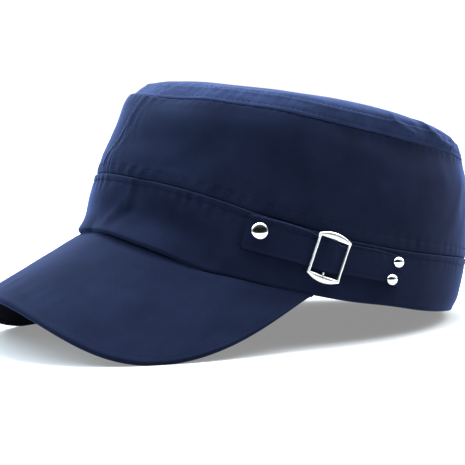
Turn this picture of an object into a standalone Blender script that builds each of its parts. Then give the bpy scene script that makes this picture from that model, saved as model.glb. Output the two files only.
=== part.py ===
# Flat-top cadet cap: a domed top panel, two side panels, a closed band, a
# curved peak, and a strap on the wearer's left that runs through a slide
# buckle and is held by three domed rivets.
#
# The cap is drawn in its own head frame, in millimetres: -Y is the front,
# +X the wearer's left, +Z up, and z = 0 is the hem at the back. It is then
# leaned back until the peak's corners and the back of the hem both touch the
# ground, and stood with the middle of its box over the origin.

import math

import bmesh
import bpy
import numpy as np
from mathutils import Vector

for ob in list(bpy.data.objects):
    bpy.data.objects.remove(ob, do_unlink=True)

MM = 0.001

# ---------------------------------------------------------------- sizes (mm)
SUPER = 2.013          # exponent of the head oval, 2 is an ellipse
GAP = 0.3              # air between neighbouring pieces
BAND_T = 2.2           # band: outer cloth with its turned seam allowance
SIDE_T = 2.0           # side wall
TOP_T = 2.0            # top panel
TUCK_T = 0.9           # seam allowance tucked behind the next piece
BRIM_T = 3.2           # stiffened peak, its cloth on both sides
STRAP_T = 1.5          # folded strap
STRAP_CLEAR = 0.4      # strap's underside above the band
FRONT_ARCH = 8.70      # how far the hem rises at the front
SIDE_DIP = 2.33        # how far it dips where the peak ends
DIP_AT, DIP_WIDE = 62.0, 22.0
PEAK_END = 76.0        # degrees round from the front where the peak ends
TOP_SEAM = 3.18        # wall level of the seam between side and top
SEGS = 56              # stations round the head

# One row for each section of the wall, from the hem to the middle of the top.
# level: row's own number; height: above the hem; half: half width;
# front, back: reach from the middle; arch: share of the hem's arch that is
# left; lift: extra height at the sides; slope: rise for each mm towards +Y
WALL_ROWS = [
    # level height  half   front   back   arch  lift   slope
    (0.00,   0.0,  80.20, 108.41,  99.61, 1.00,  0.0,  0.000),
    (0.38,  11.75, 79.70, 107.70, 104.60, 0.91, -0.8, -0.010),
    (1.00,  30.92, 78.21, 106.63, 106.00, 0.78, -2.2, -0.025),
    (2.00,  58.00, 76.38, 101.45, 101.50, 0.00, -0.3, -0.012),
    (3.00,  77.32, 73.21,  96.40,  96.40, 0.00, -0.2,  0.000),
    (3.60,  90.68, 69.85,  81.28,  87.93, 0.00, -0.2,  0.000),
    (4.20,  94.35, 50.29,  58.52,  63.31, 0.00, -0.1,  0.000),
    (5.00,  98.82,  0.10,   0.10,   0.10, 0.00,  0.0,  0.000),
]

# The band's top edge wanders: its level at some degrees from the front.
SEAM_ROWS = [
    # degrees level
    (0.0, 0.965), (16.0, 0.970), (24.0, 0.995), (40.0, 1.030), (48.0, 1.040),
    (58.0, 1.020), (66.0, 1.012), (75.0, 0.985), (85.0, 0.955),
    (95.0, 0.955), (105.0, 0.970), (119.0, 1.020), (141.0, 1.070),
    (180.0, 1.070),
]

# The peak: u runs from the middle (0) to either end (1) of its root. Straight
# lines leave the root there, so far out, turned so far round from the front
# and falling so steeply; each is a polynomial in u.
BRIM_LONG = 60.6       # from root to edge at the middle
BRIM_FULLER = 0.533    # how much longer towards the corners
BRIM_ROUND = 5.45      # how late the corner starts
BRIM_TAPER = 1.53      # how gently it runs out into the hem
BRIM_TURN = (9.2, 16.8)          # degrees: u, u cubed
BRIM_FALL = (38.6, 23.9, -9.3)   # degrees: 1, u squared, u to the fourth

# The strap: edges as heights above the level z = 0, at degrees from the front
STRAP_ROWS = [
    # degrees low   high
    (53.0, 13.9, 31.0),
    (58.5, 12.8, 30.3),
    (64.0, 12.0, 29.6),
    (70.0, 11.2, 28.3),
    (74.0, 10.2, 26.7),
    (77.8,  9.3, 24.4),
    (81.7,  9.3, 23.7),
    (84.5,  9.6, 24.9),
    (90.0,  9.7, 24.9),
    (95.0,  9.5, 24.6),
    (98.5,  8.4, 24.1),
    (103.0, 8.0, 23.5),
]
STRAP_STATIONS = [53.4, 54.2, 55.4, 58.0, 61.0, 64.5, 68.0, 71.0, 73.0, 74.0,
                  75.0, 76.0, 77.0, 77.8, 78.6, 79.6, 80.6, 81.6, 82.8, 85.5,
                  89.0, 93.0, 96.5, 99.0, 100.6, 101.5]
STRAP_ACROSS = [0.0, 0.06, 0.18, 0.5, 0.82, 0.94, 1.0]
STRAP_HUMP = 3.0       # how far the strap rises over the buckle's centre bar
STRAP_CORNER = 3.0     # radius of its corners

# The slide buckle, drawn flat: its middle, turn and lean on the band
BUCKLE_AT, BUCKLE_Z = 77.8, 16.6
BUCKLE_TURN, BUCKLE_LEAN = -6.6, 5.0
BUCKLE_W, BUCKLE_H = 17.3, 19.9
BUCKLE_BAR = 1.35      # width of the side bars
BUCKLE_BOW = 3.0       # how far the top and bottom plates bow out
BUCKLE_T = 1.5
BUCKLE_LIFT = 2.6      # its underside above the band
CENTRE_BAR_R = 0.5

# name, degrees from the front, height, cap radius, cap height
RIVET_ROWS = [
    ("rivet_front",      58.46, 23.4, 4.1, 2.1),
    ("rivet_rear_upper", 99.33, 20.6, 2.9, 1.7),
    ("rivet_rear_lower", 97.85, 11.7, 2.9, 1.7),
]
SHANK_R, HOLE_R, WASHER_R, WASHER_T = 1.4, 1.75, 2.4, 0.7


# ------------------------------------------------------------- curve helpers
def smooth_table(xs, ys, x):
    """Shape-keeping cubic through a table: no overshoot between its rows."""
    xs, ys = np.asarray(xs, float), np.asarray(ys, float)
    h, d = np.diff(xs), np.diff(ys) / np.diff(xs)
    m = np.zeros(len(xs))
    for i in range(1, len(xs) - 1):
        if d[i - 1] * d[i] > 0:
            w1, w2 = 2 * h[i] + h[i - 1], h[i] + 2 * h[i - 1]
            m[i] = (w1 + w2) / (w1 / d[i - 1] + w2 / d[i])
    for i, j, a, b in ((0, 0, 0, 1), (-1, -1, -1, -2)):
        e = ((2 * h[a] + h[b]) * d[a] - h[a] * d[b]) / (h[a] + h[b])
        if e * d[a] <= 0:
            e = 0.0
        elif d[a] * d[b] < 0 and abs(e) > 3 * abs(d[a]):
            e = 3 * d[a]
        m[i] = e
    x = np.clip(np.asarray(x, float), xs[0], xs[-1])
    k = np.clip(np.searchsorted(xs, x, side="right") - 1, 0, len(h) - 1)
    s = (x - xs[k]) / h[k]
    return ((1 + 2 * s) * (1 - s) ** 2 * ys[k] + s * (1 - s) ** 2 * h[k] * m[k]
            + s * s * (3 - 2 * s) * ys[k + 1] + s * s * (s - 1) * h[k] * m[k + 1])


# --------------------------------------------------------------- cap surface
LEVELS = [r[0] for r in WALL_ROWS]


def column(i, level):
    return smooth_table(LEVELS, [r[i] for r in WALL_ROWS], level)


def hem_height(t):
    deg = np.abs(np.degrees(np.arctan2(np.sin(t), np.cos(t))))
    return (FRONT_ARCH * np.clip(np.cos(t), 0, 1) ** 2
            - SIDE_DIP * np.exp(-((deg - DIP_AT) / DIP_WIDE) ** 2))


def wall(t, level):
    """Outer surface: t is the angle round from the front, towards +X.
    Level 0 is the hem, 1 the band's top edge, TOP_SEAM the top's seam."""
    t, level = np.broadcast_arrays(np.asarray(t, float),
                                   np.asarray(level, float))
    deg = np.abs(np.degrees(np.arctan2(np.sin(t), np.cos(t))))
    drift = smooth_table([r[0] for r in SEAM_ROWS],
                         [r[1] - 1.0 for r in SEAM_ROWS], deg)
    share = np.where(level < 1, np.clip(level, 0, 1), np.clip(2 - level, 0, 1))
    v = level + drift * share
    s, c, e = np.sin(t), np.cos(t), 2.0 / SUPER
    reach = np.where(c > 0, column(3, v), column(4, v))
    x = column(2, v) * np.sign(s) * np.abs(s) ** e
    y = -reach * np.sign(c) * np.abs(c) ** e
    z = (column(1, v) + column(7, v) * y + hem_height(t) * column(5, v)
         + column(6, v) * (1 - np.cos(2 * t)) / 2)
    return np.stack([x, y, z], -1)


def wall_frame(t, level):
    """Round, up and outward unit vectors of the outer surface."""
    t, level = np.broadcast_arrays(np.asarray(t, float),
                                   np.asarray(level, float))
    d = 2e-3
    a = wall(t + d, level) - wall(t - d, level)
    b = wall(t, np.minimum(level + d, 4.97)) - wall(t, np.maximum(level - d, 0))
    a /= np.linalg.norm(a, axis=-1, keepdims=True)
    n = np.cross(a, b)
    n /= np.linalg.norm(n, axis=-1, keepdims=True)
    return a, np.cross(n, a), n


def off_wall(t, level, out):
    """A point so many mm outside the outer surface."""
    return wall(t, level) + wall_frame(t, level)[2] * np.asarray(out)[..., None]


def level_at(t, z):
    """The level at which the wall reaches a height, for each angle."""
    grid = np.linspace(0, 1.6, 161)
    t, z = np.broadcast_arrays(np.asarray(t, float), np.asarray(z, float))
    out = np.empty(t.shape)
    for i in np.ndindex(t.shape):
        out[i] = np.interp(z[i], wall(t[i], grid)[:, 2], grid)
    return out


# -------------------------------------------------------------- mesh helpers
PIECES = []


def material(name, colour, rough, metal):
    m = bpy.data.materials.new(name)
    m.use_nodes = True
    b = m.node_tree.nodes["Principled BSDF"]
    b.inputs["Base Color"].default_value = (*colour, 1)
    b.inputs["Roughness"].default_value = rough
    b.inputs["Metallic"].default_value = metal
    return m


def add(name, points, faces, mat, sharp=40):
    """A named object from points in mm, faced outward and shaded smooth."""
    mesh = bpy.data.meshes.new(name)
    mesh.from_pydata([Vector(p) * MM for p in points], [], faces)
    bm = bmesh.new()
    bm.from_mesh(mesh)
    bmesh.ops.recalc_face_normals(bm, faces=bm.faces)
    if bm.calc_volume(signed=True) < 0:
        bmesh.ops.reverse_faces(bm, faces=bm.faces)
    bm.to_mesh(mesh)
    bm.free()
    mesh.shade_smooth()
    mesh.set_sharp_from_angle(angle=math.radians(sharp))
    mesh.materials.append(mat)
    ob = bpy.data.objects.new(name, mesh)
    bpy.context.collection.objects.link(ob)
    PIECES.append(ob)
    return ob


def shell(name, ts, rows, mat, closed, pole=False):
    """A wall swept round the head. Each row is (level, outer, inner): how
    far its two faces stand off the cap's outer surface."""
    lv, no, ni = (np.array([r[i] for r in rows], float) for i in range(3))
    T, V = np.meshgrid(ts, lv, indexing="ij")
    outer = off_wall(T, V, np.broadcast_to(no, T.shape))
    inner = off_wall(T, V, np.broadcast_to(ni, T.shape))
    k, m = len(ts), len(lv)
    pts = list(outer.reshape(-1, 3)) + list(inner.reshape(-1, 3))
    o = lambda i, j: (i % k) * m + j
    q = lambda i, j: k * m + (i % k) * m + j
    faces = []
    for i in range(k if closed else k - 1):
        for j in range(m - 1):
            faces.append((o(i, j), o(i + 1, j), o(i + 1, j + 1), o(i, j + 1)))
            faces.append((q(i, j), q(i, j + 1), q(i + 1, j + 1), q(i + 1, j)))
        faces.append((o(i, 0), q(i, 0), q(i + 1, 0), o(i + 1, 0)))
        if not pole:
            faces.append((o(i, m - 1), o(i + 1, m - 1),
                          q(i + 1, m - 1), q(i, m - 1)))
    if pole:
        top = wall(0.0, 4.99)
        top[:2] = 0
        pts += [top, top - np.array([0, 0, -ni[-1]])]
        a, b = len(pts) - 2, len(pts) - 1
        for i in range(k):
            faces.append((o(i, m - 1), o(i + 1, m - 1), a))
            faces.append((q(i + 1, m - 1), q(i, m - 1), b))
    if not closed:
        for i in (0, k - 1):
            for j in range(m - 1):
                faces.append((o(i, j), o(i, j + 1), q(i, j + 1), q(i, j)))
    return add(name, pts, faces, mat)


def slab(name, upper, lower, mat, sharp=40):
    """A closed plate between two grids of points."""
    k, m = upper.shape[:2]
    pts = list(upper.reshape(-1, 3)) + list(lower.reshape(-1, 3))
    u = lambda i, j: i * m + j
    w = lambda i, j: k * m + i * m + j
    faces = []
    for i in range(k - 1):
        for j in range(m - 1):
            faces.append((u(i, j), u(i + 1, j), u(i + 1, j + 1), u(i, j + 1)))
            faces.append((w(i, j), w(i, j + 1), w(i + 1, j + 1), w(i + 1, j)))
        for j in (0, m - 1):
            faces.append((u(i, j), u(i + 1, j), w(i + 1, j), w(i, j)))
    for j in range(m - 1):
        for i in (0, k - 1):
            faces.append((u(i, j), u(i, j + 1), w(i, j + 1), w(i, j)))
    return add(name, pts, faces, mat, sharp)


def ring_tube(name, rings, mat, closed, sharp=40):
    """A solid skinned over rings of points; open runs get end faces."""
    k, m = len(rings), len(rings[0])
    pts = [p for r in rings for p in r]
    faces = []
    for i in range(k if closed else k - 1):
        for j in range(m):
            a, b = (i % k) * m, ((i + 1) % k) * m
            faces.append((a + j, b + j, b + (j + 1) % m, a + (j + 1) % m))
    if not closed:
        faces.append(tuple(range(m)))
        faces.append(tuple((k - 1) * m + j for j in range(m)))
    return add(name, pts, faces, mat, sharp)


TWILL = material("navy_twill", (0.020, 0.026, 0.075), 0.85, 0.0)
TOP_TWILL = material("navy_twill_top", (0.024, 0.031, 0.085), 0.85, 0.0)
BAND_TWILL = material("navy_twill_band", (0.018, 0.024, 0.070), 0.85, 0.0)
STRAP_TWILL = material("navy_twill_strap", (0.019, 0.025, 0.072), 0.85, 0.0)
NICKEL = material("polished_nickel", (0.80, 0.79, 0.76), 0.12, 1.0)
RIVET_NICKEL = material("polished_nickel_rivet", (0.82, 0.81, 0.79), 0.10, 1.0)

# --------------------------------------------------------------------- band
around = np.linspace(0, 2 * math.pi, SEGS, endpoint=False)
BAND_ROWS = [
    # level  outer  inner
    (0.000, -0.6, -1.6), (0.030, 0.0, -BAND_T), (0.35, 0.0, -BAND_T),
    (0.70, 0.0, -BAND_T), (0.975, 0.0, -BAND_T),
    (0.995, -0.5, -2.0),
]
band = shell("band", around, BAND_ROWS, BAND_TWILL, closed=True)

# ---------------------------------------------------------------- side walls
behind_band = -(BAND_T + GAP)
behind_side = -(SIDE_T + 2 * GAP)
SIDE_ROWS = [
    # the tuck behind the band, then the wall up to the top's seam
    (0.90, behind_band, behind_band - TUCK_T),
    (1.000, behind_band, behind_band - TUCK_T),
    (1.008, -0.5, behind_band - TUCK_T),
    (1.070, -0.45, behind_band - TUCK_T),
    (1.180, -0.25, -SIDE_T - 0.3), (1.55, 0.0, -SIDE_T), (2.15, 0.0, -SIDE_T),
    (2.6, 0.0, -SIDE_T), (2.85, 0.0, -SIDE_T), (3.02, 0.0, -SIDE_T),
    (TOP_SEAM - 0.08, 0.0, -SIDE_T), (TOP_SEAM - 0.03, 0.0, -SIDE_T),
    (TOP_SEAM - 0.008, -0.4, -SIDE_T),
]
seam_half = math.degrees(GAP / 2 / 95.0)
half = np.radians(np.linspace(seam_half, 180 - seam_half, SEGS // 2 + 1))
side_left = shell("crown_side_left", half, SIDE_ROWS, TWILL, closed=False)
side_right = shell("crown_side_right", -half, SIDE_ROWS, TWILL, closed=False)

# ----------------------------------------------------------------- top panel
TOP_ROWS = [
    (3.02, behind_side, behind_side - TUCK_T),
    (TOP_SEAM - 0.08, behind_side, behind_side - TUCK_T),
    (TOP_SEAM + 0.002, behind_side, behind_side - TUCK_T),
    (TOP_SEAM + 0.008, -0.4, behind_side - TUCK_T),
    (TOP_SEAM + 0.040, 0.0, behind_side - TUCK_T),
    (3.34, 0.0, -TOP_T - 0.4), (3.50, 0.0, -TOP_T), (3.66, 0.0, -TOP_T),
    (4.00, 0.0, -TOP_T), (4.50, 0.0, -TOP_T),
]
crown_top = shell("crown_top", around, TOP_ROWS, TOP_TWILL, closed=True,
                  pole=True)

# --------------------------------------------------------------------- peak
def brim_edge(u):
    """The peak's outermost line, u from -1 (right end) to 1 (left end)."""
    u = np.asarray(u, float)
    k = np.abs(u)
    out = (BRIM_LONG * (1 + BRIM_FULLER * k ** 2)
           * np.clip(1 - k ** BRIM_ROUND, 0, 1) ** BRIM_TAPER + 1.2 * k)
    turn = np.radians(BRIM_TURN[0] * u + BRIM_TURN[1] * u ** 3)
    fall = np.radians(BRIM_FALL[0] + BRIM_FALL[1] * k ** 2
                      + BRIM_FALL[2] * k ** 4)
    root = wall(np.radians(PEAK_END) * u, 0.0) - np.array([0, 0, 1.0])
    way = np.stack([np.sin(turn) * np.cos(fall),
                    -np.cos(turn) * np.cos(fall), -np.sin(fall)], -1)
    return root + way * out[..., None]


def brim_middle(u, v):
    """Middle surface of the peak: v is 0 under the band, 1 at the edge."""
    t = np.radians(PEAK_END) * u
    root = off_wall(t, 0.0, np.full(t.shape, -0.6))
    root[:, 2] = hem_height(t) - GAP - BRIM_T / 2
    edge = brim_edge(u)
    way = edge - off_wall(t, 0.0, np.full(t.shape, -BAND_T))
    way /= np.linalg.norm(way, axis=-1, keepdims=True)
    edge = edge - way * BRIM_T / 2
    return root * (1 - v) + edge * v, way


def brim_normal(u, v):
    d = 1e-3
    a = brim_middle(u + d, v)[0] - brim_middle(u - d, v)[0]
    b = brim_middle(u, v + d)[0] - brim_middle(u, v - d)[0]
    n = np.cross(a, b)
    n /= np.linalg.norm(n, axis=-1, keepdims=True)
    return n * np.where(n[:, 2:] < 0, -1.0, 1.0)


s = np.linspace(-1, 1, 39)
us = 0.65 * s + 0.35 * np.sin(s * math.pi / 2)
angle = np.radians(PEAK_END) * us
root_top = off_wall(angle, 0.0, np.full(angle.shape, -BAND_T))
root_top[:, 2] = hem_height(angle) - GAP
root_out = off_wall(angle, 0.0, np.full(angle.shape, -0.4))
root_out[:, 2] = hem_height(angle) - GAP
root_low = root_top - np.array([0, 0, BRIM_T])
ACROSS = (0.09, 0.36, 0.70, 1.0)
loops = [root_top, root_out]
for v in ACROSS:
    loops.append(brim_middle(us, v)[0] + brim_normal(us, v) * BRIM_T / 2)
rim, way = brim_middle(us, 1.0)
up = brim_normal(us, 1.0)
for deg in (45, 0, -45):
    loops.append(rim + (way * math.cos(math.radians(deg))
                        + up * math.sin(math.radians(deg))) * BRIM_T / 2)
for v in ACROSS[::-1]:
    loops.append(brim_middle(us, v)[0] - brim_normal(us, v) * BRIM_T / 2)
loops.append(root_low)
rings = [[lp[i] for lp in loops] for i in range(len(us))]
brim = ring_tube("brim", rings, TWILL, closed=False, sharp=50)

# -------------------------------------------------------------------- strap
def strap_edges(deg):
    xs = [r[0] for r in STRAP_ROWS]
    return (smooth_table(xs, [r[1] for r in STRAP_ROWS], deg),
            smooth_table(xs, [r[2] for r in STRAP_ROWS], deg))


def strap_point_grid(out):
    """Points of the strap, out mm off the band plus its rise at the buckle."""
    mm_per_deg, width = 1.85, 16.0
    grid = []
    for b in STRAP_STATIONS:
        f = (b - STRAP_STATIONS[0]) / (STRAP_STATIONS[-1] - STRAP_STATIONS[0])
        line = []
        for w in STRAP_ACROSS:
            d = min(w, 1 - w) * width
            r = STRAP_CORNER
            cut = r - math.sqrt(r * r - (r - d) ** 2) if d < r else 0.0
            start = 53.4 + 1.2 * w + cut / mm_per_deg * (1.0 if w < 0.5 else 0.3)
            stop = 101.5 + 0.8 * w - cut / mm_per_deg
            deg = start + f * (stop - start)
            low, high = strap_edges(deg)
            z = low + w * (high - low)
            tall = z - BUCKLE_Z
            turned = math.tan(math.radians(-BUCKLE_TURN)) * tall / mm_per_deg
            off = (deg - BUCKLE_AT - turned) / 4.3
            hump = STRAP_HUMP + math.sin(math.radians(BUCKLE_LEAN)) * tall
            rise = hump * math.cos(off * math.pi / 2) ** 2 \
                if abs(off) < 1 else 0.0
            line.append((math.radians(deg), z, out + rise))
        grid.append(line)
    g = np.array(grid)
    lv = level_at(g[..., 0], g[..., 1])
    return off_wall(g[..., 0], lv, g[..., 2])


strap = slab("strap", strap_point_grid(STRAP_CLEAR + STRAP_T),
             strap_point_grid(STRAP_CLEAR), STRAP_TWILL, sharp=60)

# ------------------------------------------------------------------- buckle
bt = math.radians(BUCKLE_AT)
blv = float(level_at(bt, BUCKLE_Z))
e1, e2, e3 = (v.reshape(3) for v in wall_frame(bt, blv))
turn, lean = math.radians(BUCKLE_TURN), math.radians(BUCKLE_LEAN)
along = e1 * math.cos(turn) + e2 * math.sin(turn)
upward = e2 * math.cos(turn) - e1 * math.sin(turn)
upward = upward * math.cos(lean) + e3 * math.sin(lean)
facing = np.cross(along, upward)
facing /= np.linalg.norm(facing)
if facing @ e3 < 0:
    facing = -facing
centre = wall(bt, blv) + e3 * BUCKLE_LIFT


def on_buckle(x, y, n):
    return centre + along * x + upward * y + facing * n


def buckle_rings():
    hw, hh, bar = BUCKLE_W / 2, BUCKLE_H / 2, BUCKLE_BAR
    fr = [0, 0.12, 0.25, 0.38, 0.5, 0.62, 0.75, 0.88, 1]
    stations = []
    for sign in (1, -1):
        for f in fr:
            x = (-hw + 2 * hw * f) * sign
            xi = (-hw + bar + (2 * hw - 2 * bar) * f) * sign
            bow = BUCKLE_BOW * 4 * f * (1 - f)
            stations.append(((xi, (hh - bar) * sign), (x, (hh + bow) * sign)))
    section = [(0, 0.25), (0.2, 0.0), (0.8, 0.0), (1, 0.25),
               (1, 0.65), (0.78, 1.0), (0.22, 1.0), (0, 0.65)]
    out = []
    for (xi, yi), (xo, yo) in stations:
        out.append([on_buckle(xi + (xo - xi) * f, yi + (yo - yi) * f,
                              BUCKLE_T * h) for f, h in section])
    return out


buckle = ring_tube("buckle_frame", buckle_rings(), NICKEL, closed=True)


def rod(name, a, b, radius, sides, mat):
    """A plain round rod between two points."""
    a, b = np.asarray(a, float), np.asarray(b, float)
    d = (b - a) / np.linalg.norm(b - a)
    p = np.cross(d, [0.3, 0.2, 1.0])
    p /= np.linalg.norm(p)
    q = np.cross(d, p)
    ring = [(math.cos(2 * math.pi * k / sides), math.sin(2 * math.pi * k / sides))
            for k in range(sides)]
    return ring_tube(name, [[c + (p * u + q * v) * radius for u, v in ring]
                            for c in (a, b)], mat, closed=False)


reach = BUCKLE_H / 2 - 0.35
bar = rod("centre_bar_tool", on_buckle(0, -reach, -0.2),
          on_buckle(0, reach, -0.2), CENTRE_BAR_R, 12, NICKEL)
PIECES.remove(bar)
bar.hide_render = True
bar.display_type = "WIRE"
join = buckle.modifiers.new("centre_bar", "BOOLEAN")
join.operation = "UNION"
join.object = bar

# ------------------------------------------------------------------- rivets
holes = []
for name, deg, z, cap_r, cap_h in RIVET_ROWS:
    t = math.radians(deg)
    lv = float(level_at(t, z))
    a, b, n = (v.reshape(3) for v in wall_frame(t, lv))
    at = wall(t, lv)
    seat = STRAP_CLEAR + STRAP_T + GAP
    inside = -BAND_T - GAP
    profile = [(cap_r * math.cos(math.radians(k)),
                seat + 0.45 + (cap_h - 0.45) * math.sin(math.radians(k)))
               for k in (85, 62, 40, 18, 0)]
    profile += [(cap_r * 0.93, seat), (SHANK_R, seat), (SHANK_R, inside),
                (WASHER_R, inside), (WASHER_R, inside - WASHER_T)]
    sides = 16
    rings = [[at + n * h + (a * math.cos(2 * math.pi * k / sides)
                            + b * math.sin(2 * math.pi * k / sides)) * r
              for k in range(sides)] for r, h in profile]
    ring_tube(name, rings, RIVET_NICKEL, closed=False, sharp=45)
    hole = rod(name + "_hole_tool", at - n * 6, at + n * 8, HOLE_R, 20, NICKEL)
    PIECES.remove(hole)
    hole.hide_render = True
    hole.display_type = "WIRE"
    holes.append(hole)
for piece in (band, strap):
    for hole in holes:
        cut = piece.modifiers.new(hole.name, "BOOLEAN")
        cut.operation = "DIFFERENCE"
        cut.object = hole

# ------------------------------------------------- lean it back and stand it
def points_of(ob):
    co = np.empty(len(ob.data.vertices) * 3)
    ob.data.vertices.foreach_get("co", co)
    return co.reshape(-1, 3)


def leaned(points, lean):
    c, s_ = math.cos(lean), math.sin(lean)
    x, y, z = points.T
    return np.stack([x, c * y + s_ * z, c * z - s_ * y], -1)


brim_points, band_points = points_of(brim), points_of(band)
low, high = math.radians(5), math.radians(22)
for _ in range(40):
    tilt = (low + high) / 2
    if leaned(brim_points, tilt)[:, 2].min() < leaned(band_points, tilt)[:, 2].min():
        low = tilt
    else:
        high = tilt
everything = leaned(np.concatenate([points_of(ob) for ob in PIECES]), tilt)
lo, hi = everything.min(0), everything.max(0)

cap = bpy.data.objects.new("cap", None)
bpy.context.collection.objects.link(cap)
cap.rotation_euler = (-tilt, 0, 0)
cap.location = (-(lo[0] + hi[0]) / 2, -(lo[1] + hi[1]) / 2, -lo[2])
for ob in PIECES + holes + [bar]:
    ob.parent = cap
bpy.context.view_layer.update()
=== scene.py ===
# The looks of the flat-top cadet cap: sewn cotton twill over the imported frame,
# with its folds, seams, stitches, strap, slide buckle and domed rivets.
import math

import bpy
import numpy as np
from mathutils import Matrix, Vector


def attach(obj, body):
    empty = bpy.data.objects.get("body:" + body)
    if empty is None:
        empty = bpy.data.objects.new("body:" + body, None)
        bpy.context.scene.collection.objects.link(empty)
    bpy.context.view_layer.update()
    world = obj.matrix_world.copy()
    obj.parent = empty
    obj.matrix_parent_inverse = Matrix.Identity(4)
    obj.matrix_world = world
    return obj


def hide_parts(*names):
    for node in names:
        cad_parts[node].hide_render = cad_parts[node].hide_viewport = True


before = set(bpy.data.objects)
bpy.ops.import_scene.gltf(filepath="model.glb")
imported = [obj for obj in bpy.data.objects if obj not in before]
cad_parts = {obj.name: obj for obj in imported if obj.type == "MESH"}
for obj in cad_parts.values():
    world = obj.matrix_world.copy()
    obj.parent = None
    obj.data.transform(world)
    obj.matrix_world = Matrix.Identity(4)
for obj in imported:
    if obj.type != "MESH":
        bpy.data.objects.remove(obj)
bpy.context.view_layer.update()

# ------------------------------------------------------------------ the shape
# The same surface as the frame's, in the cap's own head frame and in mm.
SUPER, GAP = 2.013, 0.3
BAND_T, SIDE_T, TOP_T, TUCK_T, BRIM_T, STRAP_T = 2.2, 2.0, 2.0, 0.9, 3.2, 1.5
STRAP_CLEAR = 0.4
FRONT_ARCH, SIDE_DIP, DIP_AT, DIP_WIDE = 8.70, 2.33, 62.0, 22.0
PEAK_END, TOP_SEAM = 76.0, 3.18
WALL_ROWS = [
    # level height  half   front   back   arch  lift   slope
    (0.00,   0.0,  80.20, 108.41,  99.61, 1.00,  0.0,  0.000),
    (0.38,  11.75, 79.70, 107.70, 104.60, 0.91, -0.8, -0.010),
    (1.00,  30.92, 78.21, 106.63, 106.00, 0.78, -2.2, -0.025),
    (2.00,  58.00, 76.38, 101.45, 101.50, 0.00, -0.3, -0.012),
    (3.00,  77.32, 73.21,  96.40,  96.40, 0.00, -0.2,  0.000),
    (3.60,  90.68, 69.85,  81.28,  87.93, 0.00, -0.2,  0.000),
    (4.20,  94.35, 50.29,  58.52,  63.31, 0.00, -0.1,  0.000),
    (5.00,  98.82,  0.10,   0.10,   0.10, 0.00,  0.0,  0.000),
]
SEAM_ROWS = [
    # degrees level
    (0.0, 0.965), (16.0, 0.970), (24.0, 0.995), (40.0, 1.030), (48.0, 1.040),
    (58.0, 1.020), (66.0, 1.012), (75.0, 0.985), (85.0, 0.955),
    (95.0, 0.955), (105.0, 0.970), (119.0, 1.020), (141.0, 1.070),
    (180.0, 1.070),
]
BRIM_LONG, BRIM_FULLER, BRIM_ROUND, BRIM_TAPER = 60.6, 0.533, 5.45, 1.53
BRIM_TURN, BRIM_FALL = (9.2, 16.8), (38.6, 23.9, -9.3)
STRAP_ROWS = [
    # degrees low   high
    (53.0, 13.9, 31.0), (58.5, 12.8, 30.3), (64.0, 12.0, 29.6),
    (70.0, 11.2, 28.3), (74.0, 10.2, 26.7), (77.8, 9.3, 24.9),
    (81.7, 9.3, 23.7), (84.5, 9.6, 24.9), (90.0, 9.7, 24.9),
    (95.0, 9.5, 24.6), (98.5, 8.4, 24.1), (103.0, 8.0, 23.5),
]
STRAP_HUMP, STRAP_CORNER = 3.0, 3.0
BUCKLE_AT, BUCKLE_Z, BUCKLE_TURN, BUCKLE_LEAN = 77.8, 16.6, -6.6, 5.0
BUCKLE_W, BUCKLE_H, BUCKLE_BAR, BUCKLE_BOW = 17.1, 19.9, 1.10, 2.5
BUCKLE_T, BUCKLE_LIFT, CENTRE_BAR_R = 1.5, 2.6, 0.5
RIVET_ROWS = [
    # name, degrees, height, cap radius, cap height
    ("rivet_front",      58.46, 23.4, 4.1, 2.1),
    ("rivet_rear_upper", 99.33, 20.6, 2.9, 1.7),
    ("rivet_rear_lower", 97.85, 11.7, 2.9, 1.7),
]
# how the cap leans back and where it stands, in mm
LEAN = math.radians(12.726298)
PLACE = np.array([-1.05114, 23.45566, 21.52526])


def smooth_table(xs, ys, x):
    xs, ys = np.asarray(xs, float), np.asarray(ys, float)
    h, d = np.diff(xs), np.diff(ys) / np.diff(xs)
    m = np.zeros(len(xs))
    for i in range(1, len(xs) - 1):
        if d[i - 1] * d[i] > 0:
            w1, w2 = 2 * h[i] + h[i - 1], h[i] + 2 * h[i - 1]
            m[i] = (w1 + w2) / (w1 / d[i - 1] + w2 / d[i])
    for i, a, b in ((0, 0, 1), (-1, -1, -2)):
        e = ((2 * h[a] + h[b]) * d[a] - h[a] * d[b]) / (h[a] + h[b])
        if e * d[a] <= 0:
            e = 0.0
        elif d[a] * d[b] < 0 and abs(e) > 3 * abs(d[a]):
            e = 3 * d[a]
        m[i] = e
    x = np.clip(np.asarray(x, float), xs[0], xs[-1])
    k = np.clip(np.searchsorted(xs, x, side="right") - 1, 0, len(h) - 1)
    s = (x - xs[k]) / h[k]
    return ((1 + 2 * s) * (1 - s) ** 2 * ys[k] + s * (1 - s) ** 2 * h[k] * m[k]
            + s * s * (3 - 2 * s) * ys[k + 1] + s * s * (s - 1) * h[k] * m[k + 1])


LEVELS = [r[0] for r in WALL_ROWS]


def column(i, level):
    return smooth_table(LEVELS, [r[i] for r in WALL_ROWS], level)


def degrees_of(t):
    return np.abs(np.degrees(np.arctan2(np.sin(t), np.cos(t))))


def hem_plain(t):
    return (FRONT_ARCH * np.clip(np.cos(t), 0, 1) ** 2
            - SIDE_DIP * np.exp(-((degrees_of(t) - DIP_AT) / DIP_WIDE) ** 2))


def hem_height(t):
    """The hem, a little higher at the front and lower towards the ears."""
    deg = np.degrees(np.arctan2(np.sin(t), np.cos(t)))
    side = np.abs(deg)
    return (hem_plain(t) + 0.8 * np.exp(-((deg + 15) / 20) ** 2)
            + 2.5 * np.exp(-((deg - 12) / 14) ** 2)
            - 2.8 * np.exp(-((side - 44) / 9) ** 2)
            - 0.9 * np.exp(-((side - 60) / 10) ** 2))


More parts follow.
